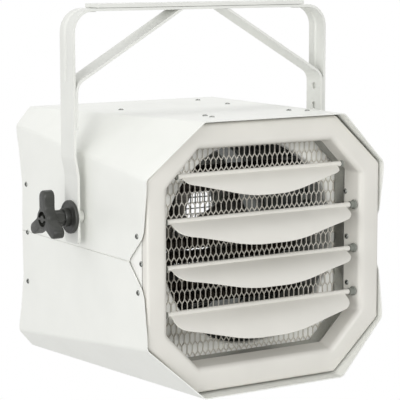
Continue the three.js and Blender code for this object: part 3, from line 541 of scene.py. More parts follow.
shell_coat = powder_coat("white powder coat on shells", "#EFF0EB", "#ECEDE8")
bezel_coat = powder_coat("warm white powder coat on pressed front", "#E2E0D9", "#DEDCD5", 0.38)
# The strap's coat is as white as the shells; it is painted a touch greyer as painted shade for the bar and
# the right leg, which lie in shadow.
bracket_coat = powder_coat("white powder coat on strap steel, painted greyer for shade", "#E4E5E0", "#DFE0DB", 0.36)
liner_coat = powder_coat("white powder coat on liner sheet", "#F8F8F4", "#F3F3EE", 0.42)
mesh_coat = powder_coat("warm grey coat on expanded steel", "#D8D4CA", "#CBC7BC", 0.3)
# The bulkhead, shroud, supports, mount and tray take a grey darker than bright galvanising: painted shade
# for the dark inside of the housing. The spangle is real.
galvanised = zinc_sheet("galvanised steel sheet, painted dark for interior shade", "#8B8D8A", "#6F726F")
throat_steel = bright_zinc("bright rolled steel throat", "#B4B5B1", "#ACADA9", 0.4)
plated = bright_zinc("bright zinc plated steel", "#C9CBC8", "#B2B4B1")
knob_plastic = moulded("black glass-filled nylon, moulded", "#32332F", "#282926", 0.36)
washer_plastic = moulded("black moulded washer", "#3A3B37", "#2F302D", 0.42)
bush_plastic = moulded("grey acetal, moulded", "#888B84", "#7A7D76", 0.48, 0.4, 0.01)
motor_paint = moulded("black stoved motor paint", "#3B3C3A", "#2C2D2B", 0.42, 1.2, 0.02)
pale_plastic = moulded("pale moulded terminal plastic", "#DAD5C8", "#CDC7B9", 0.55)
# The straw and brown tint is the tube's own; its overall darkness is painted shade for the dark inside of
# the housing.
hot_steel = tinted_steel("heat-tinted element sheath, painted dark for interior shade", "#54504A", "#3A322B")
# The fan's aluminium is given a grey far darker than bare metal: painted shade for the dark inside of the
# housing.
fan_alloy = pressed_alloy("pressed aluminium, painted dark for interior shade", "#8C8983", "#6E6B66")
# A near-black for the inside of each screw's cross recess: painted shade where light does not reach.
recess_painted_shade = moulded("painted shade in cross recess", "#2B2B29", "#232321", 0.7)
# The screw heads are painted a grey darker than their white coat, as painted shade round each cross recess.
screw_head_grey = bright_zinc("grey screw heads, painted darker for recess shade", "#A3A5A1", "#868884", 0.5)

# ---------------------------------------------------------------- yoke, bar and braces
BEND_RADIUS = 26.0
BEAD_START = 186.0
BEAD_MIDDLE = 2.4             # the pressed bead's offset behind the strap's middle
BEAD_HALF = 2.9
BEAD_DEPTH = 1.4
FOOT_ROUND = 5.0
FOOT_Z = 6.5
BAR_HALF = 140.0
BAR_UNDER = YOKE_TOP + FIT
STUD_HOLE = 5.3               # radius of the holes for studs, screws and plug welds
SCREW_HOLE = 4.5
PLUG_HOLE = 4.0
PLUG_HOLES = [168, 145]
CEILING_HOLES = [-118, -16, 16, 118]
STRAP_UNDER = YOKE_TOP - STRAP_THICK - FIT


def normals_of(path):
    """Unit normals to the right of an open line in the X-Z plane."""
    normals = []
    for i in range(len(path)):
        (x0, z0), (x1, z1) = path[max(i - 1, 0)], path[min(i + 1, len(path) - 1)]
        length = math.hypot(x1 - x0, z1 - z0)
        normals.append(((z1 - z0) / length, -(x1 - x0) / length))
    return normals


def split_long(path, longest):
    """The same line with points no further apart than longest."""
    points = [path[0]]
    for (x0, z0), (x1, z1) in zip(path, path[1:]):
        pieces = max(1, math.ceil(math.hypot(x1 - x0, z1 - z0) / longest))
        points += [(mix(x0, x1, k / pieces), mix(z0, z1, k / pieces)) for k in range(1, pieces + 1)]
    return points


def bead_depth(x, z, offset):
    """Depth of the pressed bead at a place on the strap."""
    across = clamp(1 - abs(offset - BEAD_MIDDLE) / BEAD_HALF)
    along = clamp((z - BEAD_START) / 2.5) * clamp((abs(x) - 131) / 2.5)
    return BEAD_DEPTH * along * across * across * (3 - 2 * across)


def yoke_shape():
    left = rounded_path([(-LEG_LOWER, FOOT_Z), (-LEG_LOWER, 82.5), (-LEG_OUTER, 102.5),
                         (-LEG_OUTER, YOKE_TOP), (0, YOKE_TOP)], [30, 30, BEND_RADIUS])
    path = left + [(-x, z) for x, z in reversed(left[:-1])]
    foot = [(-LEG_LOWER, FOOT_Z + FOOT_ROUND * (1 - math.cos(math.pi / 2 * k / 8))) for k in range(8)]
    path = foot + split_long(path, 4.0)[2:-2] + [(-x, z) for x, z in reversed(foot)]
    normals = normals_of(path)
    lines = [-STRAP_HALF, -8, BEAD_MIDDLE - BEAD_HALF]
    lines += [BEAD_MIDDLE + BEAD_HALF * k / 4 for k in range(-3, 4)]
    lines += [BEAD_MIDDLE + BEAD_HALF, 9, STRAP_HALF]

    def grid(depth):
        rows = []
        for (x, z), (nx, nz) in zip(path, normals):
            dip = clamp(FOOT_ROUND - (z - FOOT_Z), 0, FOOT_ROUND)
            narrow = FOOT_ROUND - math.sqrt(FOOT_ROUND ** 2 - dip ** 2)
            scale = (STRAP_HALF - narrow) / STRAP_HALF
            line = []
            for offset in lines:
                d = depth + bead_depth(x, z, offset)
                line.append((x + nx * d, PIVOT_Y + offset * scale, z + nz * d))
            rows.append(line)
        return rows

    return sheet(grid(0), grid(STRAP_THICK))


def hole_z(x, radius):
    """A hole down through bar and strap."""
    return turned([(radius, 250), (radius, 280)], "z", (x, PIVOT_Y, 0), 32)


def hole_x(y, z, radius, x0, x1):
    """A hole along X from x0 to x1."""
    return turned([(radius, x0), (radius, x1)], "x", (0, y, z), 32)


piece("yoke_strap", [yoke_shape()], "bracket", bracket_coat, ["yoke"], 0.45, 30,
      [hole_x(PIVOT_Y, PIVOT_Z, STUD_HOLE, -180, 180)] + [hole_z(x, SCREW_HOLE) for x in CEILING_HOLES])
piece("ceiling_flat", [block((-BAR_HALF, PIVOT_Y - STRAP_HALF, BAR_UNDER),
                             (BAR_HALF, PIVOT_Y + STRAP_HALF, BAR_TOP))],
      "bracket", bracket_coat, ["ceiling_bar"], 0.7, 30,
      [hole_z(x, SCREW_HOLE) for x in CEILING_HOLES])


def brace_shape():
    """A diagonal strap with a tab down the leg; its upper end is cut flush afterwards."""
    leg = LEG_OUTER - STRAP_THICK - FIT
    slope, height = 0.585, 224.5          # of the diagonal's upper face, its height at x = 100
    bend_z = height - slope * (leg - 100)
    path = rounded_path([(24, height + slope * 76), (leg, bend_z), (leg, 134)], [18], 12)
    normals = normals_of(path)

    def grid(depth):
        return [[(x + nx * depth, PIVOT_Y + w, z + nz * depth) for w in (-STRAP_HALF, 0, STRAP_HALF)]
                for (x, z), (nx, nz) in zip(path, normals)]

    return sheet(grid(0), grid(STRAP_THICK))


BRACE = brace_shape()
for name, side, shape in (("left", -1, mirrored(BRACE)), ("right", 1, BRACE)):
    cuts = [hole_x(PIVOT_Y, z, PLUG_HOLE, side * 150, side * 175) for z in PLUG_HOLES]
    cuts.append(block((side * 30 - 30, PIVOT_Y - 30, STRAP_UNDER), (side * 30 + 30, PIVOT_Y + 30, 290)))
    piece("brace_strap_" + name, [shape], "bracket", bracket_coat,
          ["brace_" + name], 0.45, 30, cuts)

RIVET_PLACES = [-100, -52, 52, 100]
RIVET = [(0.01, 263), (2.4, 263), (3, 263.6), (3, 269.9), (2.4, 270.5), (0.01, 270.5)]
for i, x in enumerate(RIVET_PLACES, 1):
    piece(f"bar_rivet_body_{i}", [turned(RIVET, "z", (x, PIVOT_Y, 0), 32)], "bracket",
          bracket_coat, [f"bar_rivet_{i}"], 0.1)

# ---------------------------------------------------------------- housing shells
# Depth of the side's front and rear edges against height.
FRONT_EDGE = [(0, 49.2), (1.2, 49.1), (2.4, 48.6), (3.7, 47.6), (27, 22.4), (35, 18.3), (70, 13.2),
              (81, 11.7), (90, 11.8)]
REAR_EDGE = [(0, 309.8), (54, 308), (83, 313.5), (95, 315.6), (106.5, 319), (116, 321.4),
             (124, SHELL_DEPTH)]
CORNER_SETBACK = 11.8
NOTCH_Y = 51.6
SIDE_COUNT = 30               # points along half a side, and round a fold
CORNER_STEPS = 8
SHELL_ROWS = 8
LAP_HEIGHT = 8.0
SEAM_OPEN = 0.95              # half the gap at the notch, and behind the pivot
SEAM_CLOSED = 0.06


def seam_gap(y):
    """Half the gap between the shells: open at the notch, closed behind the pivot."""
    return mix(SEAM_OPEN, SEAM_CLOSED, clamp((y - NOTCH_Y) / (PIVOT_Y - NOTCH_Y)) ** 0.8)


def half_ring(y, d):
    """The upper half's points from the right seam over the top to the left seam, at depth y."""
    o = inset(section(y), d)
    arc = ring_of(o, BEND - d, CORNER_STEPS)[:4 * (CORNER_STEPS + 1)]
    start = arc[0][1]
    right = [(o.a, mix(seam_gap(y), start, (k / SIDE_COUNT) ** 1.6)) for k in range(SIDE_COUNT)]
    return right + arc + [(-x, z) for x, z in reversed(right)]


def edge_depth(table, station):
    """Where a station's line meets the side's edge table."""
    y = table[0][1]
    for _ in range(12):
        y = table_at(table, abs(half_ring(y, 0)[station][1]))
    return y


def shell_edges():
    """Front and rear depth of the sheet at each station of a half ring."""
    count = len(half_ring(0, 0))
    edges = []
    for i in range(count):
        m = min(i, count - 1 - i)
        if m <= SIDE_COUNT:
            edges.append((edge_depth(FRONT_EDGE, m), edge_depth(REAR_EDGE, m)))
        else:
            slope = CORNER_SETBACK if m <= SIDE_COUNT + CORNER_STEPS else 0
            edges.append((slope, SHELL_DEPTH))
    return edges


SHELL_EDGES = shell_edges()


def shell_grid(d, flip):
    """One face of a shell, d inside the outline; flip is 1 for the upper and -1 for the lower."""
    grid = []
    for i, (front, rear) in enumerate(SHELL_EDGES):
        line = []
        for k in range(SHELL_ROWS + 1):
            y = mix(front, rear, k / SHELL_ROWS)
            x, z = half_ring(y, d)[i]
            line.append((x, y, z * flip))
        grid.append(line)
    return grid


def lap_grid(d, side):
    """Extra stations that carry the lower shell's edge inwards and up behind the upper shell."""
    front, rear = SHELL_EDGES[0]
    grid = []
    for inward, height in ((LAP_INSET, LAP_HEIGHT), (LAP_INSET, 0.4), (LAP_INSET * 0.6, -0.5), (0, None)):
        line = []
        for k in range(SHELL_ROWS + 1):
            y = mix(front + 2, rear, k / SHELL_ROWS)
            z = -seam_gap(y) - 0.3 if height is None else height
            line.append((side * (section(y).a - inward - d), y, z))
        grid.append(line)
    return grid


def lower_grid(d):
    return lap_grid(d, 1) + shell_grid(d, -1)[1:-1] + lap_grid(d, -1)[::-1]


pivot_hole = [hole_x(PIVOT_Y, PIVOT_Z, STUD_HOLE, -180, 180)]
piece("shell_upper", [sheet(shell_grid(0, 1), shell_grid(SHEET, 1))], "housing",
      shell_coat, ["upper_shell"], 0.18, 30, pivot_hole)
piece("shell_lower", [sheet(lower_grid(0), lower_grid(SHEET))], "housing",
      shell_coat, ["lower_shell"], 0.18, 30)

# ---------------------------------------------------------------- pressed front, throat and mesh
ROLL = 6.5                    # radius from the face into the drawn wall
ROLL_STEPS = 7


def drawn_wall(y):
    return inset(between(OPENING, LIP, (y - FACE_Y) / (LIP_Y - FACE_Y)), 0.8 * clamp((LIP_Y - y) / 25))


def rolled_rings(radius):
    """Rings of the roll from the face into the drawn wall, for one side of the sheet."""
    rings = []
    for k in range(ROLL_STEPS + 1):
        t = math.pi / 2 * k / ROLL_STEPS
        offset = ROLL - radius * math.sin(t)
        y = FACE_Y + ROLL - radius * math.cos(t)
        rings.append(lift(ring_of(inset(drawn_wall(y), -offset), 6 + offset), y))
    return rings


def bezel_shape():
    """The pressed front: outer flange, face, drawn wall and lip, then back along the inside."""
    outer = inset(section(FACE_Y), 3.6)
    front = [lift(ring_of(outer, 6), FLANGE_Y), lift(ring_of(outer, 6), FACE_Y + 3.2),
             lift(ring_of(inset(outer, 0.3), 5.8), FACE_Y + 1.9),
             lift(ring_of(inset(outer, 1), 5.4), FACE_Y + 0.9),
             lift(ring_of(inset(outer, 2), 5), FACE_Y + 0.25), lift(ring_of(inset(outer, 3.4), 5), FACE_Y)]
    back = [lift(ring_of(inset(outer, 3.4), 5), FACE_Y + SHEET),
            lift(ring_of(inset(outer, SHEET + 0.7), 4.8), FACE_Y + SHEET + 0.7),
            lift(ring_of(inset(outer, SHEET), 4.8), FACE_Y + 3.4),
            lift(ring_of(inset(outer, SHEET), 4.8), FLANGE_Y)]
    lip = [lift(ring_of(LIP, 6), LIP_Y), lift(ring_of(inset(LIP, -SHEET), 6.8), LIP_Y)]
    return frame_of(front + rolled_rings(ROLL) + lip + rolled_rings(ROLL - SHEET)[::-1] + back)


piece("front_pressing", [bezel_shape()], "housing", bezel_coat, ["front_bezel"], 0.3, 40)


def throat_shape():
    """A band from behind the bezel's lip back to a flange against the mesh."""
    front = LIP_Y + 2.0
    outer, flange = inset(LIP, -SHEET - 0.5), inset(LIP, -9)
    inner = inset(LIP, -0.7)
    rings = [(inner, 6, front), (inner, 6, THROAT_REAR - 1.5), (inset(LIP, -1), 6.2, THROAT_REAR - 0.4),
             (inset(LIP, -1.9), 6.5, THROAT_REAR), (flange, 7, THROAT_REAR),
             (flange, 7, THROAT_REAR - SHEET), (outer, 6.8, THROAT_REAR - SHEET), (outer, 6.8, front)]
    return frame_of([lift(ring_of(o, radius), y) for o, radius, y in rings])


piece("throat_ring", [throat_shape()], "housing", throat_steel, ["outlet_throat"], 0.2, 40)

CELL_HALF = 3.45              # expanded mesh: half a column
CELL_SHORT = 3.75             # half an upright strand
CELL_TALL = 8.25              # half a cell's full height
STRAND = 1.15


def cell_shape():
    """One opening of the expanded sheet with half of the strands round it, a low roof in section."""
    slope = math.hypot(CELL_HALF, CELL_TALL - CELL_SHORT) / CELL_HALF

    def hexagon(d):
        w, tall = CELL_HALF - d, CELL_TALL - d * slope
        short = tall - w * (CELL_TALL - CELL_SHORT) / CELL_HALF
        return [(w, -short), (w, short), (0, tall), (-w, short), (-w, -short), (0, -tall)]

    half = STRAND / 2
    rings = [(0, -0.25), (half * 0.75, -0.1), (half, 0.25), (half, 0.75), (0, 0.95)]
    return frame_of([lift(hexagon(d), y) for d, y in rings])


def mesh_tree():
    """Cells of expanded sheet in two shifted grids, kept inside an octagon."""
    tree, given = grower("expanded mesh", {
        "Column Pitch": "Float", "Row Pitch": "Float", "Half Width": "Float", "Half Height": "Float",
        "Corner Reach": "Float", "Columns": "Int", "Rows": "Int", "Place": "Vector",
        "Steel": "Material"})
    grids = []
    span_x = sum_of(tree, "MULTIPLY", given["Column Pitch"], given["Columns"])
    span_z = sum_of(tree, "MULTIPLY", given["Row Pitch"], given["Rows"], 2.0)
    points_x = sum_of(tree, "ADD", given["Columns"], 1.0)
    points_z = sum_of(tree, "ADD", given["Rows"], 1.0)
    for shift in (0.0, 0.5):
        grid = add_node(tree, "GeometryNodeMeshGrid", {
            "Size X": span_x, "Size Y": span_z, "Vertices X": points_x, "Vertices Y": points_z})
        move = add_node(tree, "ShaderNodeCombineXYZ", {
            "X": sum_of(tree, "MULTIPLY", given["Column Pitch"], shift),
            "Y": sum_of(tree, "MULTIPLY", given["Row Pitch"], 2 * shift)})
        moved = add_node(tree, "GeometryNodeTransform", {
            "Geometry": grid.outputs[0], "Translation": move.outputs[0]})
        grids.append(moved.outputs[0])
    both = add_node(tree, "GeometryNodeJoinGeometry")
    for grid in grids:
        tree.links.new(grid, both.inputs[0])
    spot = add_node(tree, "ShaderNodeSeparateXYZ", {
        "Vector": add_node(tree, "GeometryNodeInputPosition").outputs[0]}).outputs
    across = add_node(tree, "ShaderNodeMath", {0: spot["X"]}, operation="ABSOLUTE").outputs[0]
    up = add_node(tree, "ShaderNodeMath", {0: spot["Y"]}, operation="ABSOLUTE").outputs[0]
    beyond = sum_of(tree, "MAXIMUM", sum_of(tree, "GREATER_THAN", across, given["Half Width"]),
                    sum_of(tree, "GREATER_THAN", up, given["Half Height"]),
                    sum_of(tree, "GREATER_THAN", sum_of(tree, "ADD", across, up), given["Corner Reach"]))
    kept = add_node(tree, "GeometryNodeDeleteGeometry", {
        "Geometry": both.outputs[0], "Selection": beyond}, domain="POINT")
    upright = add_node(tree, "GeometryNodeTransform", {
        "Geometry": kept.outputs[0], "Translation": given["Place"],
        "Rotation": Euler((math.pi / 2, 0, 0))})
    cells = add_node(tree, "GeometryNodeInstanceOnPoints", {
        "Points": upright.outputs[0], "Instance": given["Geometry"]})
    finish_growth(tree, cells.outputs[0], given["Steel"])
    return tree


def local_mesh(name, shape):
    """A mesh about its own middle, in metres, for a tree to place."""
    points, faces = shape
    mesh = bpy.data.meshes.new(name)
    mesh.from_pydata([Vector(p) * MM for p in points], [], faces)
    bm = bmesh.new()
    bm.from_mesh(mesh)
    bmesh.ops.recalc_face_normals(bm, faces=bm.faces)
    bm.to_mesh(mesh)
    bm.free()
    return mesh


mesh_sheet = new_object("expanded_mesh", grown(mesh_tree(), {
    "Column Pitch": 2 * CELL_HALF * MM, "Row Pitch": (CELL_SHORT + CELL_TALL) * MM,
    "Half Width": (LIP.a + 4) * MM, "Half Height": (LIP.b + 9) * MM,
    "Corner Reach": (LIP.a + LIP.b - LIP.cz + 12) * MM,
    "Columns": 40, "Rows": 12, "Place": row(0, MESH_Y, 0), "Steel": mesh_coat},
    local_mesh("cell", cell_shape())))
dress(mesh_sheet, "housing", None, ["front_mesh"])

# ---------------------------------------------------------------- pans with a round mouth
WALL_INSET = SHEET + LAP_INSET + FIT


def pan_shape(y0, y1, mouth, reach):
    """An octagonal pan: wall from y0 to y1, plate at y1 with a rolled round mouth."""
    x0, z0, radius = mouth
    way = math.copysign(1, y0 - y1)
    roll = min(3.0, reach - 0.3)
    bend = 4.0
    guide = guide_ring(inset(section(y1), WALL_INSET), 5)
    arc = [math.pi / 2 * k / 4 for k in range(5)]

    def wall(y, d):
        return lift(guide_ring(inset(section(y), WALL_INSET + d), 5), y)

    def bent(r):
        return [wall(y1 + way * (bend - r * math.sin(t)), bend - r * math.cos(t)) for t in arc]

    def rolled(r, sign):
        return [lift(circle_like(guide, radius + SHEET + roll - r * math.sin(t), x0, z0),
                     y1 - way * (roll - sign * r * math.cos(t))) for t in arc]

    end = y1 - way * reach
    rings = [wall(y0, 0)] + bent(bend) + rolled(roll, 1)
    rings += [lift(circle_like(guide, radius + SHEET, x0, z0), end),
              lift(circle_like(guide, radius, x0, z0), end)]
    rings += rolled(roll + SHEET, 1)[::-1] + bent(bend - SHEET)[::-1] + [wall(y0, SHEET)]
    return frame_of(rings)


PLENUM_FRONT = 27.0
PLENUM_MOUTH = (10, 4, 115)             # middle's x and z, and radius
DUCT_MOUTH = (0, DUCT_Z, DUCT_RADIUS)
PANEL_WALL = 18.0
GLAND_HOLE = 8.3
piece("plenum_pan", [pan_shape(PLENUM_FRONT, BAFFLE_Y, PLENUM_MOUTH, 8)], "housing",
      liner_coat, ["plenum"], 0.2, 40)
piece("bulkhead_pan", [pan_shape(BULKHEAD_Y - 12, BULKHEAD_Y, DUCT_MOUTH, 3)], "housing",
      galvanised, ["fan_bulkhead"], 0.2, 40)
piece("rear_pan", [pan_shape(PANEL_Y - PANEL_WALL, PANEL_Y, DUCT_MOUTH, 2)], "housing",
      shell_coat, ["rear_panel"], 0.2, 40,
      [turned([(GLAND_HOLE, PANEL_Y - 12), (GLAND_HOLE, PANEL_Y + 12)], "y", (GLAND_X, 0, GLAND_Z), 32)])

DUCT_REAR = 240.0
SHROUD_INNER = DUCT_RADIUS + SHEET + FIT
SHROUD_FLANGE = SHROUD_INNER + 11
SHROUD_FRONT = BULKHEAD_Y + FIT
SHROUD = [(SHROUD_INNER, SHROUD_FRONT), (SHROUD_FLANGE, SHROUD_FRONT),
          (SHROUD_FLANGE, SHROUD_FRONT + SHEET), (SHROUD_INNER + SHEET, SHROUD_FRONT + SHEET),
          (SHROUD_INNER + SHEET, DUCT_REAR), (SHROUD_INNER, DUCT_REAR), (SHROUD_INNER, SHROUD_FRONT)]
piece("shroud_ring", [turned(SHROUD, "y", (0, 0, DUCT_Z), 96)], "housing", galvanised,
      ["fan_shroud"], 0.2)

# ---------------------------------------------------------------- rear guard
GUARD_RADIUS = 122.0
GUARD_Y = PANEL_Y + 3.0
WIRE = 0.9
GUARD_PITCH = 7.0
GUARD_WIRES = 34              # in each of the two layers


def guard_tree():
    """Two crossed layers of straight wires, each cut to its chord, inside a round rim."""
    tree, given = grower("wire guard", {
        "Radius": "Float", "Wire": "Float", "Pitch": "Float", "Wires": "Int", "Place": "Vector",
        "Steel": "Material"})
    reach = sum_of(tree, "MULTIPLY", given["Pitch"], sum_of(tree, "SUBTRACT", given["Wires"], 1.0), 0.5)
    start = add_node(tree, "ShaderNodeCombineXYZ", {"X": sum_of(tree, "MULTIPLY", reach, -1.0)})
    step = add_node(tree, "ShaderNodeCombineXYZ", {"X": given["Pitch"]})
    line = add_node(tree, "GeometryNodeMeshLine", {
        "Count": given["Wires"], "Start Location": start.outputs[0], "Offset": step.outputs[0]})
    spot = add_node(tree, "ShaderNodeSeparateXYZ", {
        "Vector": add_node(tree, "GeometryNodeInputPosition").outputs[0]}).outputs["X"]
    chord = add_node(tree, "ShaderNodeMath", {0: sum_of(
        tree, "SUBTRACT", sum_of(tree, "MULTIPLY", given["Radius"], given["Radius"]),
        sum_of(tree, "MULTIPLY", spot, spot))}, operation="SQRT").outputs[0]
    size = add_node(tree, "ShaderNodeCombineXYZ", {
        "X": given["Wire"], "Y": given["Wire"], "Z": chord}).outputs[0]
    wire = add_node(tree, "GeometryNodeMeshCylinder", {"Vertices": 8, "Radius": 1.0, "Depth": 2.0})
    upright = add_node(tree, "GeometryNodeInstanceOnPoints", {
        "Points": line.outputs[0], "Instance": wire.outputs[0], "Scale": size}).outputs[0]
    behind = add_node(tree, "ShaderNodeCombineXYZ", {
        "Y": sum_of(tree, "MULTIPLY", given["Wire"], 1.8)}).outputs[0]
    level = add_node(tree, "GeometryNodeTransform", {
        "Geometry": upright, "Rotation": Euler((0, math.pi / 2, 0)), "Translation": behind}).outputs[0]
    rim_path = add_node(tree, "GeometryNodeCurvePrimitiveCircle", {
        "Resolution": 96, "Radius": given["Radius"]}, mode="RADIUS").outputs[0]
    rim_section = add_node(tree, "GeometryNodeCurvePrimitiveCircle", {
        "Resolution": 10, "Radius": sum_of(tree, "MULTIPLY", given["Wire"], 2.0)}, mode="RADIUS").outputs[0]
    rim = add_node(tree, "GeometryNodeCurveToMesh", {
        "Curve": rim_path, "Profile Curve": rim_section}).outputs[0]
    standing = add_node(tree, "GeometryNodeTransform", {
        "Geometry": rim, "Rotation": Euler((math.pi / 2, 0, 0))}).outputs[0]
    both = add_node(tree, "GeometryNodeJoinGeometry")
    for part in (upright, level, standing):
        tree.links.new(part, both.inputs[0])
    placed = add_node(tree, "GeometryNodeTransform", {
        "Geometry": both.outputs[0], "Translation": given["Place"]})
    finish_growth(tree, placed.outputs[0], given["Steel"])
    return tree


guard = new_object("guard_wires", grown(guard_tree(), {
    "Radius": GUARD_RADIUS * MM, "Wire": WIRE * MM, "Pitch": GUARD_PITCH * MM, "Wires": GUARD_WIRES,
    "Place": row(0, GUARD_Y, DUCT_Z), "Steel": plated}))
guard.data.shade_smooth()
guard.data.set_sharp_from_angle(angle=math.radians(50))
dress(guard, "housing", None, ["rear_guard"])

# ---------------------------------------------------------------- louvres and their bushes
# A bush's section is pairs of radius and distance from the bead's end.
BUSH_BORE = 1.9


def disc_bush(radius, long):
    return [(BUSH_BORE, 0), (radius - 0.3, 0), (radius, 0.3), (radius, long), (BUSH_BORE, long),
            (BUSH_BORE, 0)]


NECKED_BUSH = [(BUSH_BORE, 0), (4, 0), (4, 4.4), (4.9, 4.6), (5.4, 5.1), (5.4, 6.8), (BUSH_BORE, 6.8),
               (BUSH_BORE, 0)]

# The belly is the share of the full length against distance from the blade's middle. The bead
# runs from low to high, and each pin goes on through its bush.
LouvreKind = namedtuple("LouvreKind", "belly length low high middle left left_pin right right_pin")
LONG = LouvreKind(
    [(0, 1), (18, 1), (33, 0.97), (46, 0.92), (60, 0.84), (74, 0.755), (88, 0.67), (101, 0.6),
     (108.5, 0.545), (112.5, 0.48), (115.3, 0.4), (117, 0.28)],
    42, -125.5, 119.5, -5, disc_bush(3.8, 1.2), 1.2, NECKED_BUSH, 6.8)
SHORT = LouvreKind(
    [(0, 1), (20, 0.99), (34, 0.93), (47, 0.85), (58, 0.76), (72, 0.65), (90, 0.49), (97, 0.43),
     (101, 0.35), (103, 0.22)],
    33, -112, 106, -4.5, disc_bush(3.6, 1.2), 1.2, disc_bush(3.6, 2.4), 2.4)
Louvre = namedtuple("Louvre", "z tilt kind")
LOUVRES = [Louvre(90.3, 40, SHORT), Louvre(42.4, 45, LONG), Louvre(-7.6, 50, LONG),
           Louvre(-57.6, 37, LONG)]
BEAD_RADIUS = 3.0
BEAD_ROUND = 0.8
PIN_RADIUS = 1.6
BLADE_HALF = 0.5              # half the blade's thickness
BLADE_ARCH = 5.0
BLADE_STATIONS = 72
BLADE_ROWS = 12


def louvre_shapes(z, tilt, kind):
    """The rolled bead, the arched blade that hangs from it and the two pins."""
    half = kind.belly[-1][0]
    stations = [-half * math.cos(math.pi * i / BLADE_STATIONS) for i in range(BLADE_STATIONS + 1)]

    def grid(offset):
        rows = []
        for x in stations:
            reach = table_at(kind.belly, abs(x)) * kind.length
            line = []
            for k in range(BLADE_ROWS + 1):
                down = mix(1, reach, k / BLADE_ROWS)
                arch = BLADE_ARCH * math.sin(math.pi * down / (kind.length * 1.15))
                line.append((kind.middle + x, offset - arch, -down))
            rows.append(line)
        return rows

    tip = BEAD_RADIUS - BEAD_ROUND
    bead = turned([(0.01, kind.low), (tip, kind.low), (BEAD_RADIUS, kind.low + BEAD_ROUND),
                   (BEAD_RADIUS, kind.high - BEAD_ROUND), (tip, kind.high), (0.01, kind.high)],
                  "x", sides=24)
    pins = turned([(PIN_RADIUS, kind.low - kind.left_pin), (PIN_RADIUS, kind.high + kind.right_pin)],
                  "x", sides=16)
    shapes = [sheet(grid(-BLADE_HALF), grid(BLADE_HALF)), bead, pins]
    return [turned_about_x(shape, -tilt, LOUVRE_AXIS_Y, z) for shape in shapes]


def bush_shape(z, bead_end, profile):
    """A moulded bush between the bead's end and the drawn wall, along +X."""
    x0 = bead_end + FIT
    return turned([(r, x0 + along) for r, along in profile], "x", (0, LOUVRE_AXIS_Y, z), 32)


for i, (z, tilt, kind) in enumerate(LOUVRES, 1):
    piece(f"louvre_blade_{i}", louvre_shapes(z, tilt, kind), f"louvre_{i}", bezel_coat,
          [f"louvre_{i}"], 0.2, 40)
    piece(f"bush_turned_{i}_right", [bush_shape(z, kind.high, kind.right)], "housing",
          bush_plastic, [f"louvre_bush_{i}_right"], 0.12)
    piece(f"bush_turned_{i}_left", [mirrored(bush_shape(z, -kind.low, kind.left))], "housing",
          bush_plastic, [f"louvre_bush_{i}_left"], 0.12)

# ---------------------------------------------------------------- hand knobs and washers
KNOB_TIP = 32.0
KNOB_HUB = 12.6
ARM_HALF = 6.2
KNOB_POINTS = 180


def knob_radius(angle):
    """Reach of the three-armed outline, one arm straight up, with soft inner corners."""
    cap = KNOB_TIP - ARM_HALF
    total = KNOB_HUB ** 7
    for arm in range(3):
        off = angle - math.pi / 2 - arm * math.tau / 3
        across = abs(math.sin(off))
        if math.cos(off) <= 0:
            continue
        on_cap = ARM_HALF ** 2 - (cap * across) ** 2
        reach = cap * math.cos(off) + math.sqrt(on_cap) if on_cap > 0 else ARM_HALF / across
        total += reach ** 7
    return min(total ** (1 / 7), KNOB_TIP)


def knob_ring(x, d):
    """The knob's outline at x, moved inwards by d."""
    ring = []
    for i in range(KNOB_POINTS):
        t = math.tau * i / KNOB_POINTS
        r = knob_radius(t) - d
        ring.append((x, PIVOT_Y + r * math.cos(t), PIVOT_Z + r * math.sin(t)))
    return ring


def knob_shapes():
    """The three arms, the collar against the washer and the fluted neck between them."""
    back = KNOB_FACE - ARM_DEPTH
    arms = loft([knob_ring(back, 1.6), knob_ring(back + 0.4, 0.6), knob_ring(back + 1.4, 0),
                 knob_ring(KNOB_FACE - 2.2, 0), knob_ring(KNOB_FACE - 0.9, 0.5),
                 knob_ring(KNOB_FACE - 0.25, 1.3), knob_ring(KNOB_FACE, 2.4)])
    at = (0, PIVOT_Y, PIVOT_Z)
    collar = turned([(0.01, KNOB_FOOT), (10, KNOB_FOOT), (10.5, KNOB_FOOT + 0.5),
                     (10.5, KNOB_FOOT + 6.5), (9.8, KNOB_FOOT + 7.2), (0.01, KNOB_FOOT + 7.2)], "x", at)
    neck = turned([(8.1, KNOB_FOOT + 6), (8.1, back + 2)], "x", at, 24, 0.1)
    return [arms, collar, neck]


def knob_cuts():
    """The round pocket in the knob's face, with a web left across it."""
    at = (0, PIVOT_Y, PIVOT_Z)
    deep = KNOB_FACE - 4
    pocket = new_object("pocket", mesh_from("pocket", [turned(
        [(4.0, deep), (8.6, deep), (8.6, KNOB_FACE + 1), (4.0, KNOB_FACE + 1), (4.0, deep)], "x", at)]))
    web = block((deep - 1, PIVOT_Y - 12, PIVOT_Z - 1.2), (KNOB_FACE + 2, PIVOT_Y + 12, PIVOT_Z + 1.2))
    cut_away(pocket, web)
    return pocket


def side_piece(name, obj, body, material, replaced):
    """Dresses the right-hand piece and makes its twin on the left, mirrored across the middle."""
    twin = new_object(name + "_left", obj.data.copy())
    twin.data.transform(Matrix.Scale(-1, 4, (1, 0, 0)))
    twin.data.flip_normals()
    obj.name = name + "_right"
    for made, side in ((obj, "right"), (twin, "left")):
        dress(made, body.format(side), material, [replaced.format(side)])


knob = new_object("knob", mesh_from("knob", knob_shapes()))
pocket = knob_cuts()
pocket_cut = knob.modifiers.new("pocket", "BOOLEAN")
pocket_cut.object = pocket
pocket_cut.solver = "EXACT"
pocket_cut.use_self = True
settle(knob)
bpy.data.objects.remove(pocket)
finish_edges(knob, 0.3, 35)
side_piece("knob_moulding", knob, "knob_{}", knob_plastic, "knob_{}")

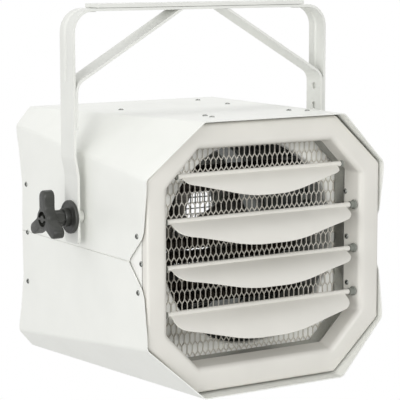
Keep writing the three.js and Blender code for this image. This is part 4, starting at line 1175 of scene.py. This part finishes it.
WASHER = [(5, 168.3), (18.2, 168.3), (18.6, 168.8), (18.6, 171.6), (17.9, 172.3), (16.6, 172.3),
          (16.2, 171.9), (11, 171.9), (10.6, 172.3), (5, 172.3), (5, 168.3)]
washer = new_object("washer", mesh_from("washer", [turned(WASHER, "x", (0, PIVOT_Y, PIVOT_Z), 64)]))
finish_edges(washer, 0.2, 35)
side_piece("washer_moulding", washer, "bracket", washer_plastic, "flange_washer_{}")

# ---------------------------------------------------------------- fan, motor and heating elements
FAN_BLADES = 4
FAN_RADIUS = 112.0
FAN_ROOT = 20.0
FAN_PHASE = 1.48              # angle of the first blade's middle, in radians
BLADE_SPREAD = (0.34, 0.37)   # half a blade's angle at its root and at its tip
BLADE_PITCH = (12.0, 15.0)    # how far its edges stand before and behind its middle
BLADE_SWEEP = 0.12
BLADE_CAMBER = 4.0
BLADE_RINGS = 12
BLADE_LINES = 14


def fan_shapes():
    """Pitched blades with trimmed outer corners, a pressed hub and the boss in it."""
    shapes = []
    for b in range(FAN_BLADES):
        turn = FAN_PHASE + b / FAN_BLADES * math.tau

        def grid(offset):
            rows = []
            for i in range(BLADE_RINGS + 1):
                t = i / BLADE_RINGS
                r = mix(FAN_ROOT, FAN_RADIUS, t)
                spread_out, pitch = mix(*BLADE_SPREAD, t), mix(*BLADE_PITCH, t)
                trim = 0.05 * clamp((t - 0.75) / 0.25) ** 2
                line = []
                for k in range(BLADE_LINES + 1):
                    c = -1 + 2 * k / BLADE_LINES
                    angle = turn + c * (spread_out - trim) + BLADE_SWEEP * t
                    y = FAN_Y + c * pitch - BLADE_CAMBER * (1 - c * c) + offset
                    line.append((r * math.cos(angle), y, r * math.sin(angle) + DUCT_Z))
                rows.append(line)
            return rows

        shapes.append(sheet(grid(-0.8), grid(0.8)))
    hub = [(4.3, FAN_Y - 14), (22, FAN_Y - 14), (24, FAN_Y - 12), (24, FAN_Y + 14), (20, FAN_Y + 14),
           (20, FAN_Y - 8), (4.3, FAN_Y - 8), (4.3, FAN_Y - 14)]
    boss = [(4.3, FAN_Y - 8.5), (9, FAN_Y - 8.5), (9, FAN_Y + 13), (4.3, FAN_Y + 13), (4.3, FAN_Y - 8.5)]
    return shapes + [turned(hub, "y", (0, 0, DUCT_Z), 64), turned(boss, "y", (0, 0, DUCT_Z), 48)]


piece("fan_wheel", fan_shapes(), "fan", fan_alloy, ["fan_blades"], 0.2, 40)
piece("shaft_bar", [turned([(3.4, 203), (4, 203.8), (4, 251), (4, 251.7)], "y", (0, 0, DUCT_Z), 32)],
      "fan", plated, ["motor_shaft"], 0.2)
piece("hub_nut_pressing", [turned([(0.01, 193.7), (4, 194), (6.4, 196), (7, 198), (7, 199), (8.6, 199.4),
                                   (9, 201.7), (0.01, 201.7)], "y", (0, 0, DUCT_Z), 36)],
      "fan", plated, ["hub_nut"], 0.15)

MOTOR_RIBS = 9


def motor_shape():
    """A finned motor can with end shields."""
    profile = [(0.01, 252), (11, 252), (12, 252.8), (12, 256), (33, 256), (36.5, 257.6), (38, 260)]
    for k in range(MOTOR_RIBS):
        y = mix(263, 283, k / (MOTOR_RIBS - 1))
        profile += [(38, y - 0.6), (36.6, y - 0.3), (36.6, y + 0.5), (38, y + 0.8)]
    profile += [(38, 288), (36.5, 290.4), (33, 292), (12, 292), (0.01, 292)]
    return turned(profile, "y", (0, 0, DUCT_Z), 64)


piece("motor_can", [motor_shape()], "housing", motor_paint, ["fan_motor"], 0.15)

FIN_TREE_SOCKETS = {"Fins": "Int", "Pitch": "Float", "Radius": "Float", "Thickness": "Float",
                    "Start": "Vector", "Steel": "Material"}


def fin_tree():
    """Round fins threaded along a straight run of tube."""
    tree, given = grower("element fins", FIN_TREE_SOCKETS)
    step = add_node(tree, "ShaderNodeCombineXYZ", {"X": given["Pitch"]})
    line = add_node(tree, "GeometryNodeMeshLine", {
        "Count": given["Fins"], "Start Location": given["Start"], "Offset": step.outputs[0]})
    fin = add_node(tree, "GeometryNodeMeshCylinder", {
        "Vertices": 20, "Radius": given["Radius"], "Depth": given["Thickness"]})
    fins = add_node(tree, "GeometryNodeInstanceOnPoints", {
        "Points": line.outputs[0], "Instance": fin.outputs[0], "Rotation": Euler((0, math.pi / 2, 0))})
    finish_growth(tree, fins.outputs[0], given["Steel"])
    return tree


FIN_TREE = fin_tree()
FIN_RADIUS = 7.6
FIN_PITCH = 5.0
FIN_COUNT = 40
FIN_THICK = 0.6
TUBE_RADIUS = 5.5
TUBE_RUN = 116.0              # from the middle to where the bend begins


def hairpin(z):
    """A tube along X with one round bend in an upright plane."""
    bend_steps, sides, bend = 16, 20, ELEMENT_BEND
    path = [(-TUBE_RUN, bend, 0.0, 1.0)]
    for i in range(bend_steps + 1):
        t = math.pi / 2 - i / bend_steps * math.pi
        path.append((TUBE_RUN + bend * math.cos(t), bend * math.sin(t), math.cos(t), math.sin(t)))
    path.append((-TUBE_RUN, -bend, 0.0, -1.0))
    rings = []
    for x, h, nx, nz in path:
        ring = []
        for k in range(sides):
            p = TUBE_RADIUS * math.cos(math.tau * k / sides)
            q = TUBE_RADIUS * math.sin(math.tau * k / sides)
            ring.append((x + nx * p, ELEMENT_Y + q, z + h + nz * p))
        rings.append(ring)
    return loft(rings)


def finned_element(name, z):
    """The hairpin joined with the fins on both of its runs."""
    bm = bmesh.new()
    bm.from_mesh(mesh_from(name, [hairpin(z)]))
    start = -FIN_PITCH * (FIN_COUNT - 1) / 2
    for run in (ELEMENT_BEND, -ELEMENT_BEND):
        fins = grown(FIN_TREE, {"Fins": FIN_COUNT, "Pitch": FIN_PITCH * MM, "Radius": FIN_RADIUS * MM,
                                "Thickness": FIN_THICK * MM, "Start": row(start, ELEMENT_Y, z + run),
                                "Steel": hot_steel})
        bm.from_mesh(fins)
    mesh = bpy.data.meshes.new(name)
    bm.to_mesh(mesh)
    bm.free()
    return mesh


for i, z in enumerate(ELEMENT_Z, 1):
    name = f"finned_element_{i}"
    element = new_object(name, finned_element(name, z))
    finish_edges(element, 0, 40)
    dress(element, "housing", hot_steel, [f"heating_element_{i}"])

# ---------------------------------------------------------------- small parts inside and behind
for node in ("element_support_left", "element_support_right", "motor_mount", "control_tray"):
    refined(node, galvanised, bevel=0.2)
refined("terminal_block", pale_plastic, bevel=0.6)
refined("contactor", motor_paint, bevel=0.8)
piece("limit_switch", [turned([(0.01, 180.5), (5.5, 180.5), (6, 181), (6, 183.5), (8.6, 183.5),
                               (9, 183.9), (9, 188.5), (0.01, 188.5)], "y", (108, 0, 100), 40)],
      "housing", motor_paint, ["thermostat"], 0.15)
piece("gland_body", [turned([(5, 296), (10.5, 296), (11, 296.5), (11, 304.5), (8, 304.5), (8, 312),
                             (5, 312), (5, 296)], "y", (GLAND_X, 0, GLAND_Z), 40)],
      "housing", knob_plastic, ["cable_gland"], 0.15)
piece("gland_cap", [turned([(8.3, 306.3), (11.7, 306.3), (11.7, 313), (9.6, 315.6), (8.6, 317), (6, 317),
                            (6, 312.4), (8.3, 312.4), (8.3, 306.3)], "y", (GLAND_X, 0, GLAND_Z), 24, 0.035)],
      "housing", knob_plastic, ["gland_nut"], 0.15)
for side in ("left", "right"):
    refined(f"pivot_spacer_{side}", shell_coat, bevel=0.3)
    for kind in ("pivot_plate", "pivot_stud"):
        refined(f"{kind}_{side}", plated, bevel=0.2)


# ---------------------------------------------------------------- sheet-metal screws
def screw_tree():
    """Pan-head screws with a cross recess on points, each turned to where its point faces."""
    tree, given = grower("cross recess screws", {
        "Head Radius": "Float", "Head Height": "Float", "Recess Length": "Float",
        "Recess Width": "Float", "Coat": "Material", "Recess": "Material"})
    ball = add_node(tree, "GeometryNodeMeshUVSphere", {"Segments": 24, "Rings": 12, "Radius": 1.0})
    size = add_node(tree, "ShaderNodeCombineXYZ", {
        "X": given["Head Radius"], "Y": given["Head Radius"], "Z": given["Head Height"]})
    head = add_node(tree, "GeometryNodeTransform", {"Geometry": ball.outputs[0], "Scale": size.outputs[0]})
    solid = head.outputs[0]
    lifted = add_node(tree, "ShaderNodeCombineXYZ", {"Z": given["Head Height"]}).outputs[0]
    for long_way, short_way in (("X", "Y"), ("Y", "X")):
        slot_size = add_node(tree, "ShaderNodeCombineXYZ", {
            long_way: given["Recess Length"], short_way: given["Recess Width"],
            "Z": given["Head Height"]})
        bar = add_node(tree, "GeometryNodeMeshCube", {"Size": slot_size.outputs[0]})
        placed = add_node(tree, "GeometryNodeTransform", {"Geometry": bar.outputs[0], "Translation": lifted})
        # The recess faces take the near-black recess material: painted shade inside the cross.
        dark = add_node(tree, "GeometryNodeSetMaterial", {
            "Geometry": placed.outputs[0], "Material": given["Recess"]})
        carved = add_node(tree, "GeometryNodeMeshBoolean", {"Mesh 1": solid}, operation="DIFFERENCE",
                          solver="EXACT")
        tree.links.new(dark.outputs[0], carved.inputs["Mesh 2"])
        solid = carved.outputs[0]
    facing = add_node(tree, "GeometryNodeInputNamedAttribute", {"Name": "facing"},
                      data_type="FLOAT_VECTOR").outputs[0]
    turn = add_node(tree, "FunctionNodeAlignRotationToVector", {"Vector": facing}, axis="Z").outputs[0]
    chance = add_node(tree, "FunctionNodeRandomValue", {"Seed": 5}, data_type="FLOAT").outputs[1]
    spin = add_node(tree, "ShaderNodeCombineXYZ", {"Z": chance}).outputs[0]
    turned_in = add_node(tree, "FunctionNodeRotateRotation", {
        "Rotation": turn, "Rotate By": spin}, rotation_space="LOCAL").outputs[0]
    screws = add_node(tree, "GeometryNodeInstanceOnPoints", {
        "Points": given["Geometry"], "Instance": solid, "Rotation": turned_in})
    last = finish_growth(tree, screws.outputs[0], given["Coat"])
    is_recess = add_node(tree, "GeometryNodeMaterialSelection", {"Material": given["Recess"]}).outputs[0]
    outside = add_node(tree, "FunctionNodeBooleanMath", {0: is_recess}, operation="NOT").outputs[0]
    tree.links.new(outside, last.inputs["Selection"])
    return tree


def screw_points(places):
    """Points with the direction that each screw's head faces."""
    mesh = bpy.data.meshes.new("screw points")
    mesh.from_pydata([row(*place) for place, _ in places], [], [])
    facing = mesh.attributes.new("facing", "FLOAT_VECTOR", "POINT")
    for value, (_, way) in zip(facing.data, places):
        value.vector = way
    return mesh


def screws(name, places, coat, slot, tree):
    obj = new_object(name, grown(tree, {
        "Head Radius": 3.1 * MM, "Head Height": 1.6 * MM, "Recess Length": 4.6 * MM,
        "Recess Width": 1.3 * MM, "Coat": coat, "Recess": recess_painted_shade}, screw_points(places)))
    obj.data.shade_smooth()
    obj.data.set_sharp_from_angle(angle=math.radians(40))
    dress(obj, "housing", None, ())


# Places as depth and height on the sides and as x and depth on the top.
SIDE_SCREWS = [(297, 56), (295, -1), (296, -60), (31.4, 29.3), (29.5, -31)]
TOP_SCREWS = [(-76.7, 201), (71, 201), (78.7, 278), (-50, 65), (-53.7, 45.6), (67.5, 71), (80, 53)]
BOTTOM_SCREWS = TOP_SCREWS[:3]
NOTCH_SCREW = (27.7, 0)
SCREW_TREE = screw_tree()
shell_places = []
for y, z in SIDE_SCREWS:
    for side in (-1, 1):
        shell_places.append(((side * section(y).a, y, z), (side, 0, 0)))
for x, y in TOP_SCREWS:
    shell_places.append(((x, y, section(y).b), (0, 0, 1)))
for x, y in BOTTOM_SCREWS:
    shell_places.append(((x, y, -section(y).b), (0, 0, -1)))
for side in (-1, 1):
    y, z = NOTCH_SCREW
    shell_places.append(((side * (section(y).a - WALL_INSET), y, z), (side, 0, 0)))
screws("shell_screws", shell_places, screw_head_grey, "zinc_steel", SCREW_TREE)

WALL_SCREWS = [(39.5, 56), (36, -49.5), (37, 4)]
wall_places = []
for y, z in WALL_SCREWS:
    for side in (-1, 1):
        wall_places.append(((side * drawn_wall(y).a, y, z), (-side, 0, 0)))
screws("wall_screws", wall_places, screw_head_grey, "zinc_steel", SCREW_TREE)

# ---------------------------------------------------------------- floor, light and camera
FLOOR_Z = -2.4                # metres under the ceiling face
FLOOR_HALF = 4.0
FLOOR_WHITENESS = 0.75        # how far the camera sees the floor as white and not its shadow


def stage_floor():
    """A pale studio floor that shows white to the camera and keeps the heater's shadow."""
    mesh = bpy.data.meshes.new("floor")
    corners = ((-1, -1), (1, -1), (1, 1), (-1, 1))
    mesh.from_pydata([(x * FLOOR_HALF, y * FLOOR_HALF, FLOOR_Z) for x, y in corners], [], [(0, 1, 2, 3)])
    floor = new_object("floor", mesh)
    material = bpy.data.materials.new("pale studio floor")
    material.use_nodes = True
    tree = material.node_tree
    tree.nodes.clear()
    seen = add_node(tree, "ShaderNodeLightPath").outputs
    direct = sum_of(tree, "MAXIMUM", seen["Is Camera Ray"], seen["Is Glossy Ray"],
                    seen["Is Transmission Ray"])
    share = sum_of(tree, "MULTIPLY", direct, FLOOR_WHITENESS)
    matt = add_node(tree, "ShaderNodeBsdfDiffuse", {"Color": (0.86, 0.86, 0.85, 1)})
    white = add_node(tree, "ShaderNodeEmission", {"Color": (1, 1, 1, 1), "Strength": 1.0})
    both = add_node(tree, "ShaderNodeMixShader", {0: share, 1: matt.outputs[0], 2: white.outputs[0]})
    add_node(tree, "ShaderNodeOutputMaterial", {"Surface": both.outputs[0]})
    mesh.materials.append(material)


def studio_world(level):
    """Even studio light, and pure white where the camera or a gloss looks past the heater."""
    world = bpy.data.worlds.new("studio")
    bpy.context.scene.world = world
    world.use_nodes = True
    tree = world.node_tree
    tree.nodes.clear()
    seen = add_node(tree, "ShaderNodeLightPath").outputs
    direct = sum_of(tree, "MAXIMUM", seen["Is Camera Ray"], seen["Is Glossy Ray"],
                    seen["Is Transmission Ray"])
    strength = add_node(tree, "ShaderNodeMapRange", {
        "Value": direct, "To Min": level, "To Max": 1.0}).outputs[0]
    sky = add_node(tree, "ShaderNodeBackground", {"Color": (1, 1, 1, 1), "Strength": strength})
    add_node(tree, "ShaderNodeOutputWorld", {"Surface": sky.outputs[0]})


def area_light(name, place, target, size, power):
    light = bpy.data.lights.new(name, "AREA")
    light.shape = "SQUARE"
    light.size = size
    light.energy = power
    obj = new_object(name, light)
    obj.location = place
    obj.rotation_euler = (Vector(target) - Vector(place)).to_track_quat("-Z", "Y").to_euler()


MIDDLE = (0, 0, -0.25)
stage_floor()
studio_world(0.52)
area_light("key, high over the left side", (-2.0, 0.4, 1.5), MIDDLE, 1.8, 10)
area_light("top, over the right shoulder", (1.0, 0.6, 2.2), MIDDLE, 1.6, 19)
area_light("fill, in front of the left side", (-2.5, -1.4, 0.1), MIDDLE, 1.6, 33)
area_light("front, small, before the outlet", (-0.2, -2.9, 0.7), MIDDLE, 0.7, 23)

LENS, SENSOR = 159.0, 36.0
CAMERA_PLACE = (-1.1061, -1.7062, 0.0512)
CAMERA_YAW, CAMERA_PITCH, CAMERA_ROLL = 33.01, 7.85, -0.09      # degrees


def aim_camera():
    camera = bpy.data.cameras.new("camera")
    camera.lens = LENS
    camera.sensor_width = SENSOR
    obj = new_object("camera", camera)
    yaw, pitch = math.radians(CAMERA_YAW), math.radians(CAMERA_PITCH)
    way = Vector((math.sin(yaw) * math.cos(pitch), math.cos(yaw) * math.cos(pitch), -math.sin(pitch)))
    turn = way.to_track_quat("-Z", "Y").to_matrix() @ Matrix.Rotation(math.radians(CAMERA_ROLL), 3, "Z")
    obj.matrix_world = Matrix.Translation(CAMERA_PLACE) @ turn.to_4x4()
    bpy.context.scene.camera = obj


aim_camera()
bpy.context.scene.view_settings.view_transform = "Standard"
